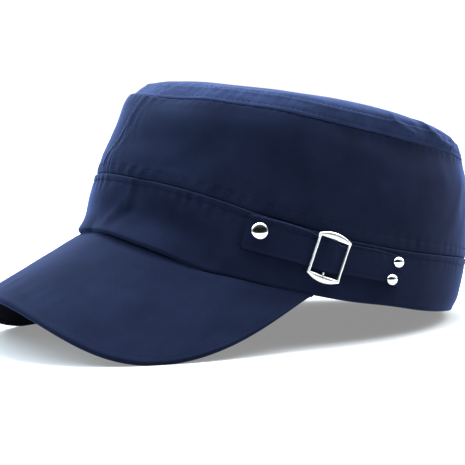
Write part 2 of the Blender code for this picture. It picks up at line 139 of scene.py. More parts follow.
def wall(t, level):
    t, level = np.broadcast_arrays(np.asarray(t, float),
                                   np.asarray(level, float))
    drift = smooth_table([r[0] for r in SEAM_ROWS],
                         [r[1] - 1.0 for r in SEAM_ROWS], degrees_of(t))
    share = np.where(level < 1, np.clip(level, 0, 1), np.clip(2 - level, 0, 1))
    v = level + drift * share
    s, c, e = np.sin(t), np.cos(t), 2.0 / SUPER
    reach = np.where(c > 0, column(3, v), column(4, v))
    x = column(2, v) * np.sign(s) * np.abs(s) ** e
    y = -reach * np.sign(c) * np.abs(c) ** e
    z = (column(1, v) + column(7, v) * y + hem_plain(t) * column(5, v)
         + column(6, v) * (1 - np.cos(2 * t)) / 2
         + (hem_height(t) - hem_plain(t)) * np.clip(1 - v / 0.8, 0, 1))
    return np.stack([x, y, z], -1)


def wall_frame(t, level):
    t, level = np.broadcast_arrays(np.asarray(t, float),
                                   np.asarray(level, float))
    d = 2e-3
    a = wall(t + d, level) - wall(t - d, level)
    b = wall(t, np.minimum(level + d, 4.97)) - wall(t, np.maximum(level - d, 0))
    a /= np.linalg.norm(a, axis=-1, keepdims=True)
    n = np.cross(a, b)
    n /= np.linalg.norm(n, axis=-1, keepdims=True)
    return a, np.cross(n, a), n


def off_wall(t, level, out):
    return wall(t, level) + wall_frame(t, level)[2] * np.asarray(out)[..., None]


def level_at(t, z):
    grid = np.linspace(0, 1.6, 161)
    t, z = np.broadcast_arrays(np.asarray(t, float), np.asarray(z, float))
    flat = np.empty(t.size)
    table = wall(t.ravel()[:, None], grid[None, :])[..., 2]
    for i in range(t.size):
        flat[i] = np.interp(z.ravel()[i], table[i], grid)
    return flat.reshape(t.shape)


def to_world(p):
    """Head frame in mm to the row's frame in metres."""
    c, s = math.cos(LEAN), math.sin(LEAN)
    p = np.asarray(p, float)
    x, y, z = p[..., 0], p[..., 1], p[..., 2]
    return (np.stack([x, c * y + s * z, c * z - s * y], -1) + PLACE) * 0.001


# arc length round the head, and height up the wall, both in mm
_t = np.linspace(0, math.pi, 1441)
_arc = np.concatenate([[0], np.cumsum(np.linalg.norm(
    np.diff(wall(_t, 0.7), axis=0), axis=1))])
HALF_ROUND = _arc[-1]
_lv = np.linspace(0, 4.98, 800)
_rise = np.concatenate([[0], np.cumsum(np.linalg.norm(
    np.diff(wall(math.pi / 2, _lv), axis=0), axis=1))])


def arc_of(t):
    """Signed mm from the centre front, towards +X, along the hoop."""
    w = np.arctan2(np.sin(t), np.cos(t))
    return np.sign(w) * np.interp(np.abs(w), _t, _arc)


def angle_at(arc):
    a = (np.asarray(arc, float) + HALF_ROUND) % (2 * HALF_ROUND) - HALF_ROUND
    return np.sign(a) * np.interp(np.abs(a), _arc, _t)


def rise_of(level):
    return np.interp(level, _lv, _rise)


def level_of(rise):
    return np.interp(rise, _rise, _lv)


SEAM_RISE, TOP_RISE = rise_of(1.0), rise_of(TOP_SEAM)

# ------------------------------------------------------------------- bumpiness
_hash = np.random.RandomState(7).permutation(512)
_value = np.random.RandomState(8).uniform(-1, 1, 512)


def noise3(p, size, seed=0):
    """Smooth seeded noise of points in mm, between -1 and 1."""
    q = np.asarray(p, float) / size + 37.3 + 11.7 * seed
    i = np.floor(q).astype(int)
    f = q - i
    f = f * f * f * (f * (f * 6 - 15) + 10)
    out = 0.0
    for dx in (0, 1):
        for dy in (0, 1):
            for dz in (0, 1):
                k = _hash[(i[..., 0] + dx) % 512]
                k = _hash[(k + i[..., 1] + dy) % 512]
                k = _hash[(k + i[..., 2] + dz) % 512]
                w = (np.where(dx, f[..., 0], 1 - f[..., 0])
                     * np.where(dy, f[..., 1], 1 - f[..., 1])
                     * np.where(dz, f[..., 2], 1 - f[..., 2]))
                out = out + w * _value[k]
    return out


def line_noise(x, size, seed):
    x = np.asarray(x, float)
    return noise3(np.stack([x, x * 0 + 5 * seed, x * 0], -1), size, seed)


def bell(x, width):
    return np.exp(-(np.asarray(x, float) / width) ** 2)


def step(a, b, x):
    s = np.clip((np.asarray(x, float) - a) / (b - a), 0, 1)
    return s * s * (3 - 2 * s)


def pucker(along, off, reach, wave, seed):
    """Gathers that a row of stitches pulls into cloth: waves across the row,
    uneven along it, fading out away from it."""
    ph = 2 * math.pi * along / wave + 2.6 * line_noise(along, wave * 2.3, seed)
    size = 0.55 + 0.45 * line_noise(along, wave * 3.1, seed + 3)
    return np.sin(ph) * size * bell(off, reach)


def crease(along, up, points, width):
    """A soft ridge that follows a line of (along, up) points, in mm."""
    near = np.full(np.shape(along), 1e9)
    for (a0, u0), (a1, u1) in zip(points, points[1:]):
        da, du = a1 - a0, u1 - u0
        f = np.clip(((along - a0) * da + (up - u0) * du)
                    / (da * da + du * du), 0, 1)
        near = np.minimum(near, (along - a0 - f * da) ** 2
                          + (up - u0 - f * du) ** 2)
    return np.exp(-near / width ** 2)


def broad(t, level):
    """Slow undulation of the whole wall, shared by all that is on it."""
    p = wall(t, level)
    front = bell(degrees_of(t) - 28, 34)
    return (0.55 * noise3(p, 46, 1) + (0.22 + 0.25 * front) * noise3(p, 21, 2)
            + 0.08 * noise3(p, 9, 3))


def shoulder(t, level):
    """Where wall turns into top the cloth rounds over, most at the front."""
    deg = np.degrees(np.arctan2(np.sin(t), np.cos(t)))
    off = rise_of(level) - TOP_RISE
    arc = arc_of(t)
    soft, rear = bell(deg - 14, 38), bell(deg - 108, 24)
    wide = 4.5 + 4.0 * soft + np.where(off < 0, 6.0, -2.0) * rear
    d = -(0.55 + 1.7 * soft + 1.6 * rear) * np.exp(-(off / wide) ** 2)
    # the near wall swells outwards towards its top
    tall = np.where(off < 0, bell(off, 20), bell(off, 9))
    d += (1.8 * bell(arc - 45, 15) + 3.0 * bell(arc - 86, 26)) * tall
    return d


def band_out(t, level):
    """How far the band's cloth stands off the plain wall."""
    deg = np.degrees(np.arctan2(np.sin(t), np.cos(t)))
    arc, up = arc_of(t), rise_of(level)
    down = SEAM_RISE - up
    d = 0.6 * broad(t, level)
    # the rolled top edge over its seam allowance, and its row of stitches
    d += 0.22 * bell(down - 1.2, 1.1) + 0.18 * step(4.4, 3.0, down)
    d -= 0.30 * bell(down - 3.6, 0.55)
    under = bell(deg - 76, 25)      # flat under the strap
    back = 1 - 0.75 * step(90, 112, degrees_of(t))
    back = back * (1 - 0.7 * step(6, -24, deg))
    d += (0.50 - 0.42 * under) * back * pucker(arc, down - 3.8, 3.4, 6.4, 11)
    # the front swells over the peak's root and draws in above it
    side = np.where(deg >= 0, deg, -deg * 1.07)
    far_side = step(6, -24, deg)
    d += 8.0 * bell(up + 6.0, 9.5) * bell(side - 18, 20) * (
        1 - 0.55 * far_side)
    d -= 1.0 * bell(up, 7.0) * bell(side - 52, 11)
    d -= 1.7 * bell(up - 12.0, 5.5) * bell(side - 25, 19) * (1 - far_side)
    d += 1.0 * bell(up - 17, 9) * bell(deg + 19, 24)
    # a soft fold that runs down the front, hollow on both sides
    d += 0.7 * crease(arc, up, [(21.5, 26), (20.5, 14)], 2.0)
    d -= 0.7 * crease(arc, up, [(23.0, 13), (16.5, 5)], 3.0)
    d += 0.7 * crease(arc, up, [(17, 15), (11, 7)], 2.8)
    d -= 1.3 * crease(arc, up, [(27, 20), (36, 16), (52, 12), (68, 7)], 6.0)
    d += (0.35 * noise3(wall(t, level), 6.0, 17) * bell(down - 4.5, 3.2)
          + 0.35 * noise3(wall(t, level), 11.0, 18) * bell(up - 8, 9)
          ) * bell(deg - 22, 26)
    # the hem: turned up inside, its edge rounded
    d += 0.15 * bell(up - 1.6, 1.2)
    return d


def side_out(t, level):
    """How far the side wall's cloth stands off the plain wall."""
    arc, up = arc_of(t), rise_of(level)
    over, under = up - SEAM_RISE, TOP_RISE - up
    d = broad(t, level) * step(0.5, 7, over) * step(0.2, 4, under)
    d += 0.6 * broad(t, level) * (1 - step(0.5, 7, over))
    d -= 0.12 * bell(over, 0.8) - 0.08 * bell(over - 2.4, 1.4)
    d -= 0.10 * bell(over - 5.4, 0.55)
    # soft blotchy unevenness of the front half
    p = wall(t, level)
    d += (0.62 * noise3(p, 24, 14) + 0.26 * noise3(p, 11, 15)) * bell(
        degrees_of(t) - 30, 30) * step(2, 12, over) * step(1, 9, under)
    calm = (1 - 0.6 * bell(degrees_of(t) - 80, 30)) * (
        1 - 0.7 * step(95, 115, degrees_of(t)))
    d += 0.46 * calm * pucker(arc, over - 4.2, 3.4, 7.3, 21)
    # the seams up the centre front and the centre back
    for at, seed, k in ((0.0, 31, 0.45), (HALF_ROUND, 35, 0.6)):
        a = np.abs(arc) - at if at else np.abs(arc)
        a = np.abs(a)
        d -= k * 0.14 * bell(a, 0.5)
        d += k * (0.16 * step(5.4, 4.0, a) + 0.12 * bell(a - 1.3, 0.8))
        d -= k * 0.16 * bell(a - 4.4, 0.6)
        d += k * 0.12 * pucker(up + 3 * a, a - 4.2, 4.0, 7.2, seed)
    edge = [(1.5, 56), (-0.5, 35), (-8.0, 9.5), (-10, 4)]
    d += 0.34 * crease(arc, over, edge, 1.5)
    d += 0.16 * crease(arc - 6.8, over, edge, 1.6)
    d += 0.09 * pucker(arc * 1.3 + up * 0.35, arc - 9.0, 8.0, 9.7, 38)
    # the front stands a little fuller, most at the top corner
    deg = np.degrees(np.arctan2(np.sin(t), np.cos(t)))
    d += 1.3 * bell(deg + 19, 24) * step(-2, 16, over)
    d += 2.2 * bell(deg + 18, 22) * bell(under, 9)
    soft = bell(deg - 14, 38)
    d += shoulder(t, level)
    d -= 0.9 * bell(deg - 143, 20) * bell(under, 10)
    # the top edge, pulled in under the top panel
    d += (0.10 * bell(under - 2.4, 1.6) - 0.15 * bell(under, 0.7)) * (
        1 - 0.9 * soft)
    d += 0.20 * pucker(arc, under, 3.5, 6.8, 41)
    # slack folds at the back of the near side and their like on the far side
    deg = degrees_of(t)
    for k, at, h, lean, w, tall in ((0.4, 131, 34, 0.55, 5.0, 10),
                                    (-0.35, 137, 30, 0.55, 6.0, 12),
                                    (0.4, 118, 46, -0.35, 6.0, 12),
                                    (0.3, 31, 26, 0.6, 7.0, 12),
                                    (-0.4, 42, 32, 0.4, 11.0, 14)):
        line = (deg - at) * 1.65 - lean * (over - h)
        d += k * bell(line, w) * bell(over - h, tall)
    return d


def top_out(t, level):
    """How far the top panel's cloth stands off the plain surface."""
    p = wall(t, level)
    arc, up = arc_of(t), rise_of(level)
    over = up - TOP_RISE
    d = (0.8 * noise3(p, 40, 5) + 0.3 * noise3(p, 19, 6)) * step(3, 16, over)
    d += 0.5 * broad(t, level) * step(9, 2, over)
    # a double-stitched strip on the shoulder
    d += 0.12 * bell(over - 1.0, 0.9) + 0.14 * step(9.2, 7.6, over)
    d -= 0.12 * bell(over - 2.2, 0.5) + 0.20 * bell(over - 8.0, 0.6)
    d += 0.26 * bell(over - 6.9, 0.9)
    d += 0.16 * pucker(arc, over - 5.0, 3.6, 5.9, 51)
    d += 0.14 * pucker(arc, over - 9.5, 4.0, 9.9, 53)
    d += (0.30 * noise3(p, 7.0, 55) + 0.20 * noise3(p, 3.6, 56)) * bell(
        over - 5.0, 5.0)
    # the shoulder rounds over; the front is fuller, the back falls away
    deg = np.degrees(np.arctan2(np.sin(t), np.cos(t)))
    d += shoulder(t, level)
    # none of these reaches the panel's middle, where all directions meet
    out = step(12, 48, _rise[-1] - up)
    d += 2.3 * bell(deg + 18, 22) * bell(over, 8)
    d += 2.0 * bell(deg - 93, 27) * step(5, 18, over) * out
    d += 1.0 * bell(deg + 93, 27) * step(5, 18, over) * out
    d -= 0.9 * bell(deg - 143, 20) * bell(over, 8)
    d -= 2.1 * bell(deg - 149, 18) * step(1, 10, over) * out
    # folds of the slack panel where it meets the stitched strip
    low = step(16, 9, over)
    d += 0.8 * low * crease(arc, over, [(157, 19), (155.4, 8.1), (163.3, 5.7),
                                        (172, 4.1)], 1.5)
    d += 1.1 * low * crease(arc, over, [(178, 17), (187.8, 7.2), (201, 4.1),
                                        (214, 3.2)], 1.8)
    d -= 0.35 * low * crease(arc, over, [(192, 19), (199, 9.0), (210, 6.5)],
                             3.5)
    # the slack panel folds over towards its near back corner
    x, y = p[..., 0], p[..., 1]
    line = (x - 36) * 0.80 + (y - 36) * -0.60
    runs = (x - 36) * 0.60 + (y - 36) * 0.80
    d += 0.4 * bell(line, 5.0) * bell(runs, 30) * step(5, 12, over)
    d += 0.8 * bell(deg - 120, 9) * step(3, 10, over) * out
    return d


# --------------------------------------------------------------- mesh making
def new_mesh(name, verts, quads, uvs=None, tris=None, mat=None):
    """A piece from points in metres. uvs holds one pair for each corner."""
    me = bpy.data.meshes.new(name)
    faces = [tuple(f) for f in quads.tolist()]
    if tris is not None:
        faces += [tuple(f) for f in tris.tolist()]
    me.from_pydata(verts.tolist(), [], faces)
    if uvs is not None:
        layer = me.uv_layers.new(name="cloth")
        layer.data.foreach_set("uv", np.asarray(uvs, np.float32).ravel())
    me.shade_smooth()
    if mat is not None:
        me.materials.append(mat)
    ob = bpy.data.objects.new(name, me)
    bpy.context.collection.objects.link(ob)
    return ob


def signed_volume(v, q):
    a, b, c, d = (v[q[:, i]] for i in range(4))
    return (np.einsum("ij,ij->i", a, np.cross(b, c)).sum()
            + np.einsum("ij,ij->i", a, np.cross(c, d)).sum()) / 6


def shell(name, outer, inner, uv, mat, wrap=False, pole=None):
    """A closed wall between two grids of points (head frame, mm). uv has one
    more row than the grids where they wrap round. pole = (outer point, inner
    point, uv) closes the last ring of the grid."""
    k, m = outer.shape[:2]
    n = k * m
    verts = np.concatenate([outer.reshape(-1, 3), inner.reshape(-1, 3)])
    ii = np.arange(k if wrap else k - 1)
    jj = np.arange(m - 1)
    I, J = (g.ravel() for g in np.meshgrid(ii, jj, indexing="ij"))
    I2 = (I + 1) % k
    q1 = np.stack([I * m + J, I2 * m + J, I2 * m + J + 1, I * m + J + 1], -1)
    u1 = np.stack([uv[I, J], uv[I + 1, J], uv[I + 1, J + 1], uv[I, J + 1]], 1)
    q2, u2 = q1[:, ::-1] + n, u1[:, ::-1]
    parts, puvs = [q1, q2], [u1, u2]
    i2 = (ii + 1) % k
    edges = [(0, False)] + ([] if pole is not None else [(m - 1, True)])
    for j, flip in edges:
        q = np.stack([ii * m + j, n + ii * m + j, n + i2 * m + j, i2 * m + j], -1)
        u = np.stack([uv[ii, j], uv[ii, j], uv[ii + 1, j], uv[ii + 1, j]], 1)
        parts.append(q[:, ::-1] if flip else q)
        puvs.append(u[:, ::-1] if flip else u)
    if not wrap:
        for i, flip in ((0, True), (k - 1, False)):
            q = np.stack([i * m + jj, n + i * m + jj,
                          n + i * m + jj + 1, i * m + jj + 1], -1)
            u = np.stack([uv[i, jj], uv[i, jj], uv[i, jj + 1], uv[i, jj + 1]], 1)
            parts.append(q[:, ::-1] if flip else q)
            puvs.append(u[:, ::-1] if flip else u)
    quads, quv = np.concatenate(parts), np.concatenate(puvs).reshape(-1, 2)
    tris = None
    if pole is not None:
        po, pi, puv = pole
        verts = np.concatenate([verts, [po], [pi]])
        a, b = 2 * n, 2 * n + 1
        t1 = np.stack([ii * m + m - 1, i2 * m + m - 1, ii * 0 + a], -1)
        t2 = np.stack([n + i2 * m + m - 1, n + ii * m + m - 1, ii * 0 + b], -1)
        w1 = np.stack([uv[ii, m - 1], uv[ii + 1, m - 1],
                       np.broadcast_to(puv, (len(ii), 2))], 1)
        tris = np.concatenate([t1, t2])
        tuv = np.concatenate([w1, w1[:, [1, 0, 2]]]).reshape(-1, 2)
        quv = np.concatenate([quv, tuv])
    if signed_volume(verts, quads) < 0:
        quads = quads[:, ::-1]
        nq = len(quads)
        quv[:nq * 4] = quv[:nq * 4].reshape(nq, 4, 2)[:, ::-1].reshape(-1, 2)
        if tris is not None:
            tris = tris[:, ::-1]
            quv[nq * 4:] = quv[nq * 4:].reshape(-1, 3, 2)[:, ::-1].reshape(-1, 2)
    return new_mesh(name, to_world(verts), quads, quv, tris, mat)


def tube(name, rings, mat, closed, ends=True):
    """A solid skinned over rings of points in the head frame, in mm."""
    rings = np.asarray(rings, float)
    k, m = rings.shape[:2]
    ii = np.arange(k if closed else k - 1)
    jj = np.arange(m)
    I, J = (g.ravel() for g in np.meshgrid(ii, jj, indexing="ij"))
    I2, J2 = (I + 1) % k, (J + 1) % m
    quads = np.stack([I * m + J, I2 * m + J, I2 * m + J2, I * m + J2], -1)
    verts = rings.reshape(-1, 3)
    faces = quads
    if signed_volume(verts, quads) < 0:
        faces = quads[:, ::-1]
    me = bpy.data.meshes.new(name)
    lists = [tuple(f) for f in faces.tolist()]
    if not closed and ends:
        a, b = list(range(m)), [(k - 1) * m + j for j in range(m)]
        flipped = faces[0, 0] != quads[0, 0]
        lists.append(tuple(a if flipped else a[::-1]))
        lists.append(tuple(b[::-1] if flipped else b))
    me.from_pydata(to_world(verts).tolist(), [], lists)
    me.shade_smooth()
    me.set_sharp_from_angle(angle=math.radians(42))
    me.materials.append(mat)
    ob = bpy.data.objects.new(name, me)
    bpy.context.collection.objects.link(ob)
    return ob


class Threads:
    """Rows of single stitches, joined into one mesh for each piece of cloth."""

    def __init__(self):
        self.verts, self.faces, self.count = [], [], 0

    def row(self, points, normals, pitch=2.7, length=2.0, radius=0.17,
            sink=0.07, skip=0.0):
        points, normals = np.asarray(points, float), np.asarray(normals, float)
        gone = np.concatenate([[0], np.cumsum(np.linalg.norm(
            np.diff(points, axis=0), axis=1))])
        at = np.arange(skip + pitch / 2, gone[-1] - skip - length / 2, pitch)
        prof = [(-0.5, 0.25), (-0.36, 0.85), (0.0, 1.0), (0.36, 0.85), (0.5, 0.25)]
        turn = [2 * math.pi * j / 6 for j in range(6)]
        look = lambda s, table: np.stack(
            [np.interp(s, gone, table[:, i]) for i in range(3)], -1)
        base = look(at, points)
        along = look(at + 0.4, points) - look(at - 0.4, points)
        along /= np.linalg.norm(along, axis=1, keepdims=True)
        n = look(at, normals)
        n -= along * np.einsum("ij,ij->i", n, along)[:, None]
        n /= np.linalg.norm(n, axis=1, keepdims=True)
        side = np.cross(along, n)
        cloud = []
        for f, r in prof:
            drop = -sink - 0.35 * radius * (2 * abs(f)) ** 2
            c = base + along * f * length + n * drop
            for w in turn:
                cloud.append(c + n * math.sin(w) * radius * r * 0.9
                             + side * math.cos(w) * radius * r)
        cloud = np.stack(cloud, 1)
        for one in cloud:
            o = self.count
            self.verts.append(one)
            for a in range(len(prof) - 1):
                for j in range(6):
                    self.faces.append((o + a * 6 + j, o + a * 6 + (j + 1) % 6,
                                       o + (a + 1) * 6 + (j + 1) % 6,
                                       o + (a + 1) * 6 + j))
            self.faces.append(tuple(o + j for j in range(5, -1, -1)))
            self.faces.append(tuple(o + 24 + j for j in range(6)))
            self.count += 30

    def build(self, name, mat):
        me = bpy.data.meshes.new(name)
        me.from_pydata(to_world(np.concatenate(self.verts)).tolist(), [],
                       self.faces)
        me.shade_smooth()
        me.materials.append(mat)
        ob = bpy.data.objects.new(name, me)
        bpy.context.collection.objects.link(ob)
        return ob


# ------------------------------------------------------------------ materials
def nodes_of(mat):
    mat.use_nodes = True
    nt = mat.node_tree
    nt.nodes.clear()
    out = nt.nodes.new("ShaderNodeOutputMaterial")
    shader = nt.nodes.new("ShaderNodeBsdfPrincipled")
    nt.links.new(shader.outputs[0], out.inputs[0])
    return nt, shader


def twill(name, dark, light, twill_mm=0.9, angle=52, sheen=0.32, bump=0.24,
          rough=0.9):
    """Cotton twill: fine diagonal ribs, cross threads, and slow wear."""
    mat = bpy.data.materials.new(name)
    nt, shader = nodes_of(mat)
    new, link = nt.nodes.new, nt.links.new
    uv = new("ShaderNodeUVMap")
    uv.uv_map = "cloth"
    ribs_at = new("ShaderNodeMapping")
    ribs_at.inputs["Rotation"].default_value = (0, 0, math.radians(angle))
    link(uv.outputs[0], ribs_at.inputs[0])
    ribs = new("ShaderNodeTexWave")
    ribs.wave_type, ribs.bands_direction = "BANDS", "X"
    ribs.inputs["Scale"].default_value = math.pi / 10 / (twill_mm * 0.001)
    ribs.inputs["Distortion"].default_value = 0.9
    ribs.inputs["Detail"].default_value = 1.0
    ribs.inputs["Detail Scale"].default_value = 1.2
    link(ribs_at.outputs[0], ribs.inputs[0])
    # threads across the ribs
    weft_at = new("ShaderNodeMapping")
    weft_at.inputs["Rotation"].default_value = (0, 0, math.radians(angle + 74))
    link(uv.outputs[0], weft_at.inputs[0])
    weft = new("ShaderNodeTexWave")
    weft.wave_type, weft.bands_direction = "BANDS", "X"
    weft.inputs["Scale"].default_value = math.pi / 10 / 0.00062
    weft.inputs["Distortion"].default_value = 1.3
    weft.inputs["Detail"].default_value = 1.0
    link(weft_at.outputs[0], weft.inputs[0])
    # uneven yarn
    slub = new("ShaderNodeTexNoise")
    slub.inputs["Scale"].default_value = 900
    slub.inputs["Detail"].default_value = 3
    link(uv.outputs[0], slub.inputs[0])
    patch = new("ShaderNodeTexNoise")
    patch.inputs["Scale"].default_value = 42
    patch.inputs["Detail"].default_value = 4
    patch.inputs["Roughness"].default_value = 0.6
    link(uv.outputs[0], patch.inputs[0])
    # height of the weave
    mix1 = new("ShaderNodeMix")
    mix1.data_type = "FLOAT"
    mix1.inputs["Factor"].default_value = 0.28
    link(ribs.outputs[1], mix1.inputs["A"])
    link(weft.outputs[1], mix1.inputs["B"])
    mix2 = new("ShaderNodeMix")
    mix2.data_type = "FLOAT"
    mix2.inputs["Factor"].default_value = 0.35
    link(mix1.outputs["Result"], mix2.inputs["A"])
    link(slub.outputs[0], mix2.inputs["B"])
    ramp = new("ShaderNodeValToRGB")
    ramp.color_ramp.elements[0].position = 0.22
    ramp.color_ramp.elements[0].color = (*dark, 1)
    ramp.color_ramp.elements[1].position = 0.80
    ramp.color_ramp.elements[1].color = (*light, 1)
    link(mix2.outputs["Result"], ramp.inputs[0])
    # slow change of shade over the cloth
    fade = new("ShaderNodeValToRGB")
    fade.color_ramp.elements[0].position = 0.30
    fade.color_ramp.elements[0].color = (0.75, 0.75, 0.77, 1)
    fade.color_ramp.elements[1].position = 0.72
    fade.color_ramp.elements[1].color = (1.24, 1.24, 1.20, 1)
    link(patch.outputs[0], fade.inputs[0])
    tint = new("ShaderNodeMix")
    tint.data_type, tint.blend_type = "RGBA", "MULTIPLY"
    tint.inputs["Factor"].default_value = 1.0
    link(ramp.outputs[0], tint.inputs["A"])
    link(fade.outputs[0], tint.inputs["B"])
    link(tint.outputs["Result"], shader.inputs["Base Color"])
    relief = new("ShaderNodeBump")
    relief.inputs["Strength"].default_value = bump
    relief.inputs["Distance"].default_value = 0.00016
    link(mix2.outputs["Result"], relief.inputs["Height"])
    link(relief.outputs[0], shader.inputs["Normal"])
    shader.inputs["Roughness"].default_value = rough
    shader.inputs["Specular IOR Level"].default_value = 0.04
    shader.inputs["Sheen Weight"].default_value = sheen
    shader.inputs["Sheen Roughness"].default_value = 0.30
    shader.inputs["Sheen Tint"].default_value = (0.20, 0.31, 0.78, 1)
    return mat


def paint_lit_rim(mat, start, end, middle):
    """Painted shade: the cloth's colour is darker in the middle of its piece than
    at its rim, so the rim looks lit.
    """
    nt = mat.node_tree
    new, link = nt.nodes.new, nt.links.new
    shader = [n for n in nt.nodes if n.type == "BSDF_PRINCIPLED"][0]
    colour = shader.inputs["Base Color"].links[0].from_socket
    uv = new("ShaderNodeUVMap")
    uv.uv_map = "cloth"
    far = new("ShaderNodeVectorMath")
    far.operation = "LENGTH"
    link(uv.outputs[0], far.inputs[0])
    fit = new("ShaderNodeMapRange")
    fit.interpolation_type = "SMOOTHSTEP"
    fit.inputs["From Min"].default_value = start
    fit.inputs["From Max"].default_value = end
    fit.inputs["To Min"].default_value = middle
    fit.inputs["To Max"].default_value = 1.0
    link(far.outputs["Value"], fit.inputs["Value"])
    mix = new("ShaderNodeMix")
    mix.data_type, mix.blend_type = "RGBA", "MULTIPLY"
    mix.inputs["Factor"].default_value = 1.0
    link(colour, mix.inputs["A"])
    link(fit.outputs["Result"], mix.inputs["B"])
    link(mix.outputs["Result"], shader.inputs["Base Color"])


def thread(name, colour):
    mat = bpy.data.materials.new(name)
    nt, shader = nodes_of(mat)
    coord = nt.nodes.new("ShaderNodeTexCoord")
    twist = nt.nodes.new("ShaderNodeTexNoise")
    twist.inputs["Scale"].default_value = 2600
    twist.inputs["Detail"].default_value = 2
    nt.links.new(coord.outputs["Object"], twist.inputs[0])
    ramp = nt.nodes.new("ShaderNodeValToRGB")
    ramp.color_ramp.elements[0].color = (*(c * 0.6 for c in colour), 1)
    ramp.color_ramp.elements[1].color = (*(min(1, c * 1.5) for c in colour), 1)
    nt.links.new(twist.outputs[0], ramp.inputs[0])
    nt.links.new(ramp.outputs[0], shader.inputs["Base Color"])
    bump = nt.nodes.new("ShaderNodeBump")
    bump.inputs["Strength"].default_value = 0.5
    bump.inputs["Distance"].default_value = 0.00008
    nt.links.new(twist.outputs[0], bump.inputs["Height"])
    nt.links.new(bump.outputs[0], shader.inputs["Normal"])
    shader.inputs["Roughness"].default_value = 0.8
    shader.inputs["Specular IOR Level"].default_value = 0.08
    shader.inputs["Sheen Weight"].default_value = 0.15
    shader.inputs["Sheen Tint"].default_value = (0.20, 0.31, 0.78, 1)
    return mat


def nickel(name, tone, rough):
    """Polished nickel plate with faint hairlines and a little tarnish."""
    mat = bpy.data.materials.new(name)
    nt, shader = nodes_of(mat)
    new, link = nt.nodes.new, nt.links.new
    coord = new("ShaderNodeTexCoord")
    haze = new("ShaderNodeTexNoise")
    haze.inputs["Scale"].default_value = 420
    haze.inputs["Detail"].default_value = 3
    link(coord.outputs["Object"], haze.inputs[0])
    tint = new("ShaderNodeValToRGB")
    tint.color_ramp.elements[0].position = 0.35
    tint.color_ramp.elements[0].color = (*(c * 0.93 for c in tone), 1)
    tint.color_ramp.elements[1].position = 0.70
    tint.color_ramp.elements[1].color = (*tone, 1)
    link(haze.outputs[0], tint.inputs[0])
    link(tint.outputs[0], shader.inputs["Base Color"])
    ro = new("ShaderNodeMapRange")
    ro.inputs["To Min"].default_value = rough * 0.7
    ro.inputs["To Max"].default_value = rough * 1.5
    link(haze.outputs[0], ro.inputs["Value"])
    link(ro.outputs[0], shader.inputs["Roughness"])
    scratch = new("ShaderNodeTexNoise")
    scratch.inputs["Scale"].default_value = 1400
    link(coord.outputs["Object"], scratch.inputs[0])
    bump = new("ShaderNodeBump")
    bump.inputs["Strength"].default_value = 0.06
    bump.inputs["Distance"].default_value = 0.00004
    link(scratch.outputs[0], bump.inputs["Height"])
    link(bump.outputs[0], shader.inputs["Normal"])
    shader.inputs["Metallic"].default_value = 1.0
    return mat


NAVY_D, NAVY_L = (0.0048, 0.0069, 0.0184), (0.0065, 0.0094, 0.0245)
SIDE_CLOTH = twill("twill_side", NAVY_D, NAVY_L)
# painted light: the top panel is the same navy cloth as the walls, given a colour
# about 2.7 times brighter because the top is lit more than the walls
TOP_CLOTH_PAINTED_LIGHT = twill("twill_top", (0.0130, 0.0192, 0.0482), (0.0178, 0.0257, 0.0636),
                  angle=38)
BAND_CLOTH = twill("twill_band", NAVY_D, NAVY_L, angle=58)
# painted shade: the top's colour falls to half from 12 mm to 36 mm inside its rim,
# so the stitched rim looks lit
rim_at = (_rise[-1] - TOP_RISE) * 0.001
paint_lit_rim(TOP_CLOTH_PAINTED_LIGHT, rim_at - 0.036, rim_at - 0.012, 0.50)
BRIM_CLOTH = twill("twill_brim", NAVY_D, NAVY_L, angle=40)
# painted shade: the peak's underside is the same cloth as its top, given a darker,
# greyer colour and little sheen for the shade under the peak
BRIM_UNDER_PAINTED_SHADE = twill("twill_under_painted_shade", (0.0024, 0.0034, 0.0058),
                   (0.0036, 0.0050, 0.0084), angle=40, sheen=0.05)
# painted shade: a darker cloth with no sheen for the shade at the strap's edges
STRAP_EDGE_PAINTED_SHADE = twill("twill_strap_edge_painted_shade", (0.0022, 0.0032, 0.0085),
                   (0.0034, 0.0048, 0.0125), angle=48, sheen=0.0)
STRAP_CLOTH = twill("twill_strap", NAVY_D, NAVY_L, angle=48)
THREAD = thread("navy_thread", (0.0048, 0.0071, 0.0190))
NICKEL = nickel("nickel_buckle", (0.90, 0.88, 0.84), 0.30)
RIVET_METAL = nickel("nickel_rivet", (0.88, 0.87, 0.84), 0.09)


def keep(ob, node):
    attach(ob, "root")
    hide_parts(node)
    return ob


def extra(ob):
    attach(ob, "root")
    return ob


def pieces_between(rows, levels):
    """Outer and inner stand-off at each level from rows of the table."""
    lv = [r[0] for r in rows]
    return (np.interp(levels, lv, [r[1] for r in rows]),
            np.interp(levels, lv, [r[2] for r in rows]))


def dense(parts):
    """Level values: (from, to, count) runs joined without repeats."""
    out = []
    for a, b, n in parts:
        out += list(np.linspace(a, b, n, endpoint=False))
    out.append(parts[-1][1])
    return np.array(out)


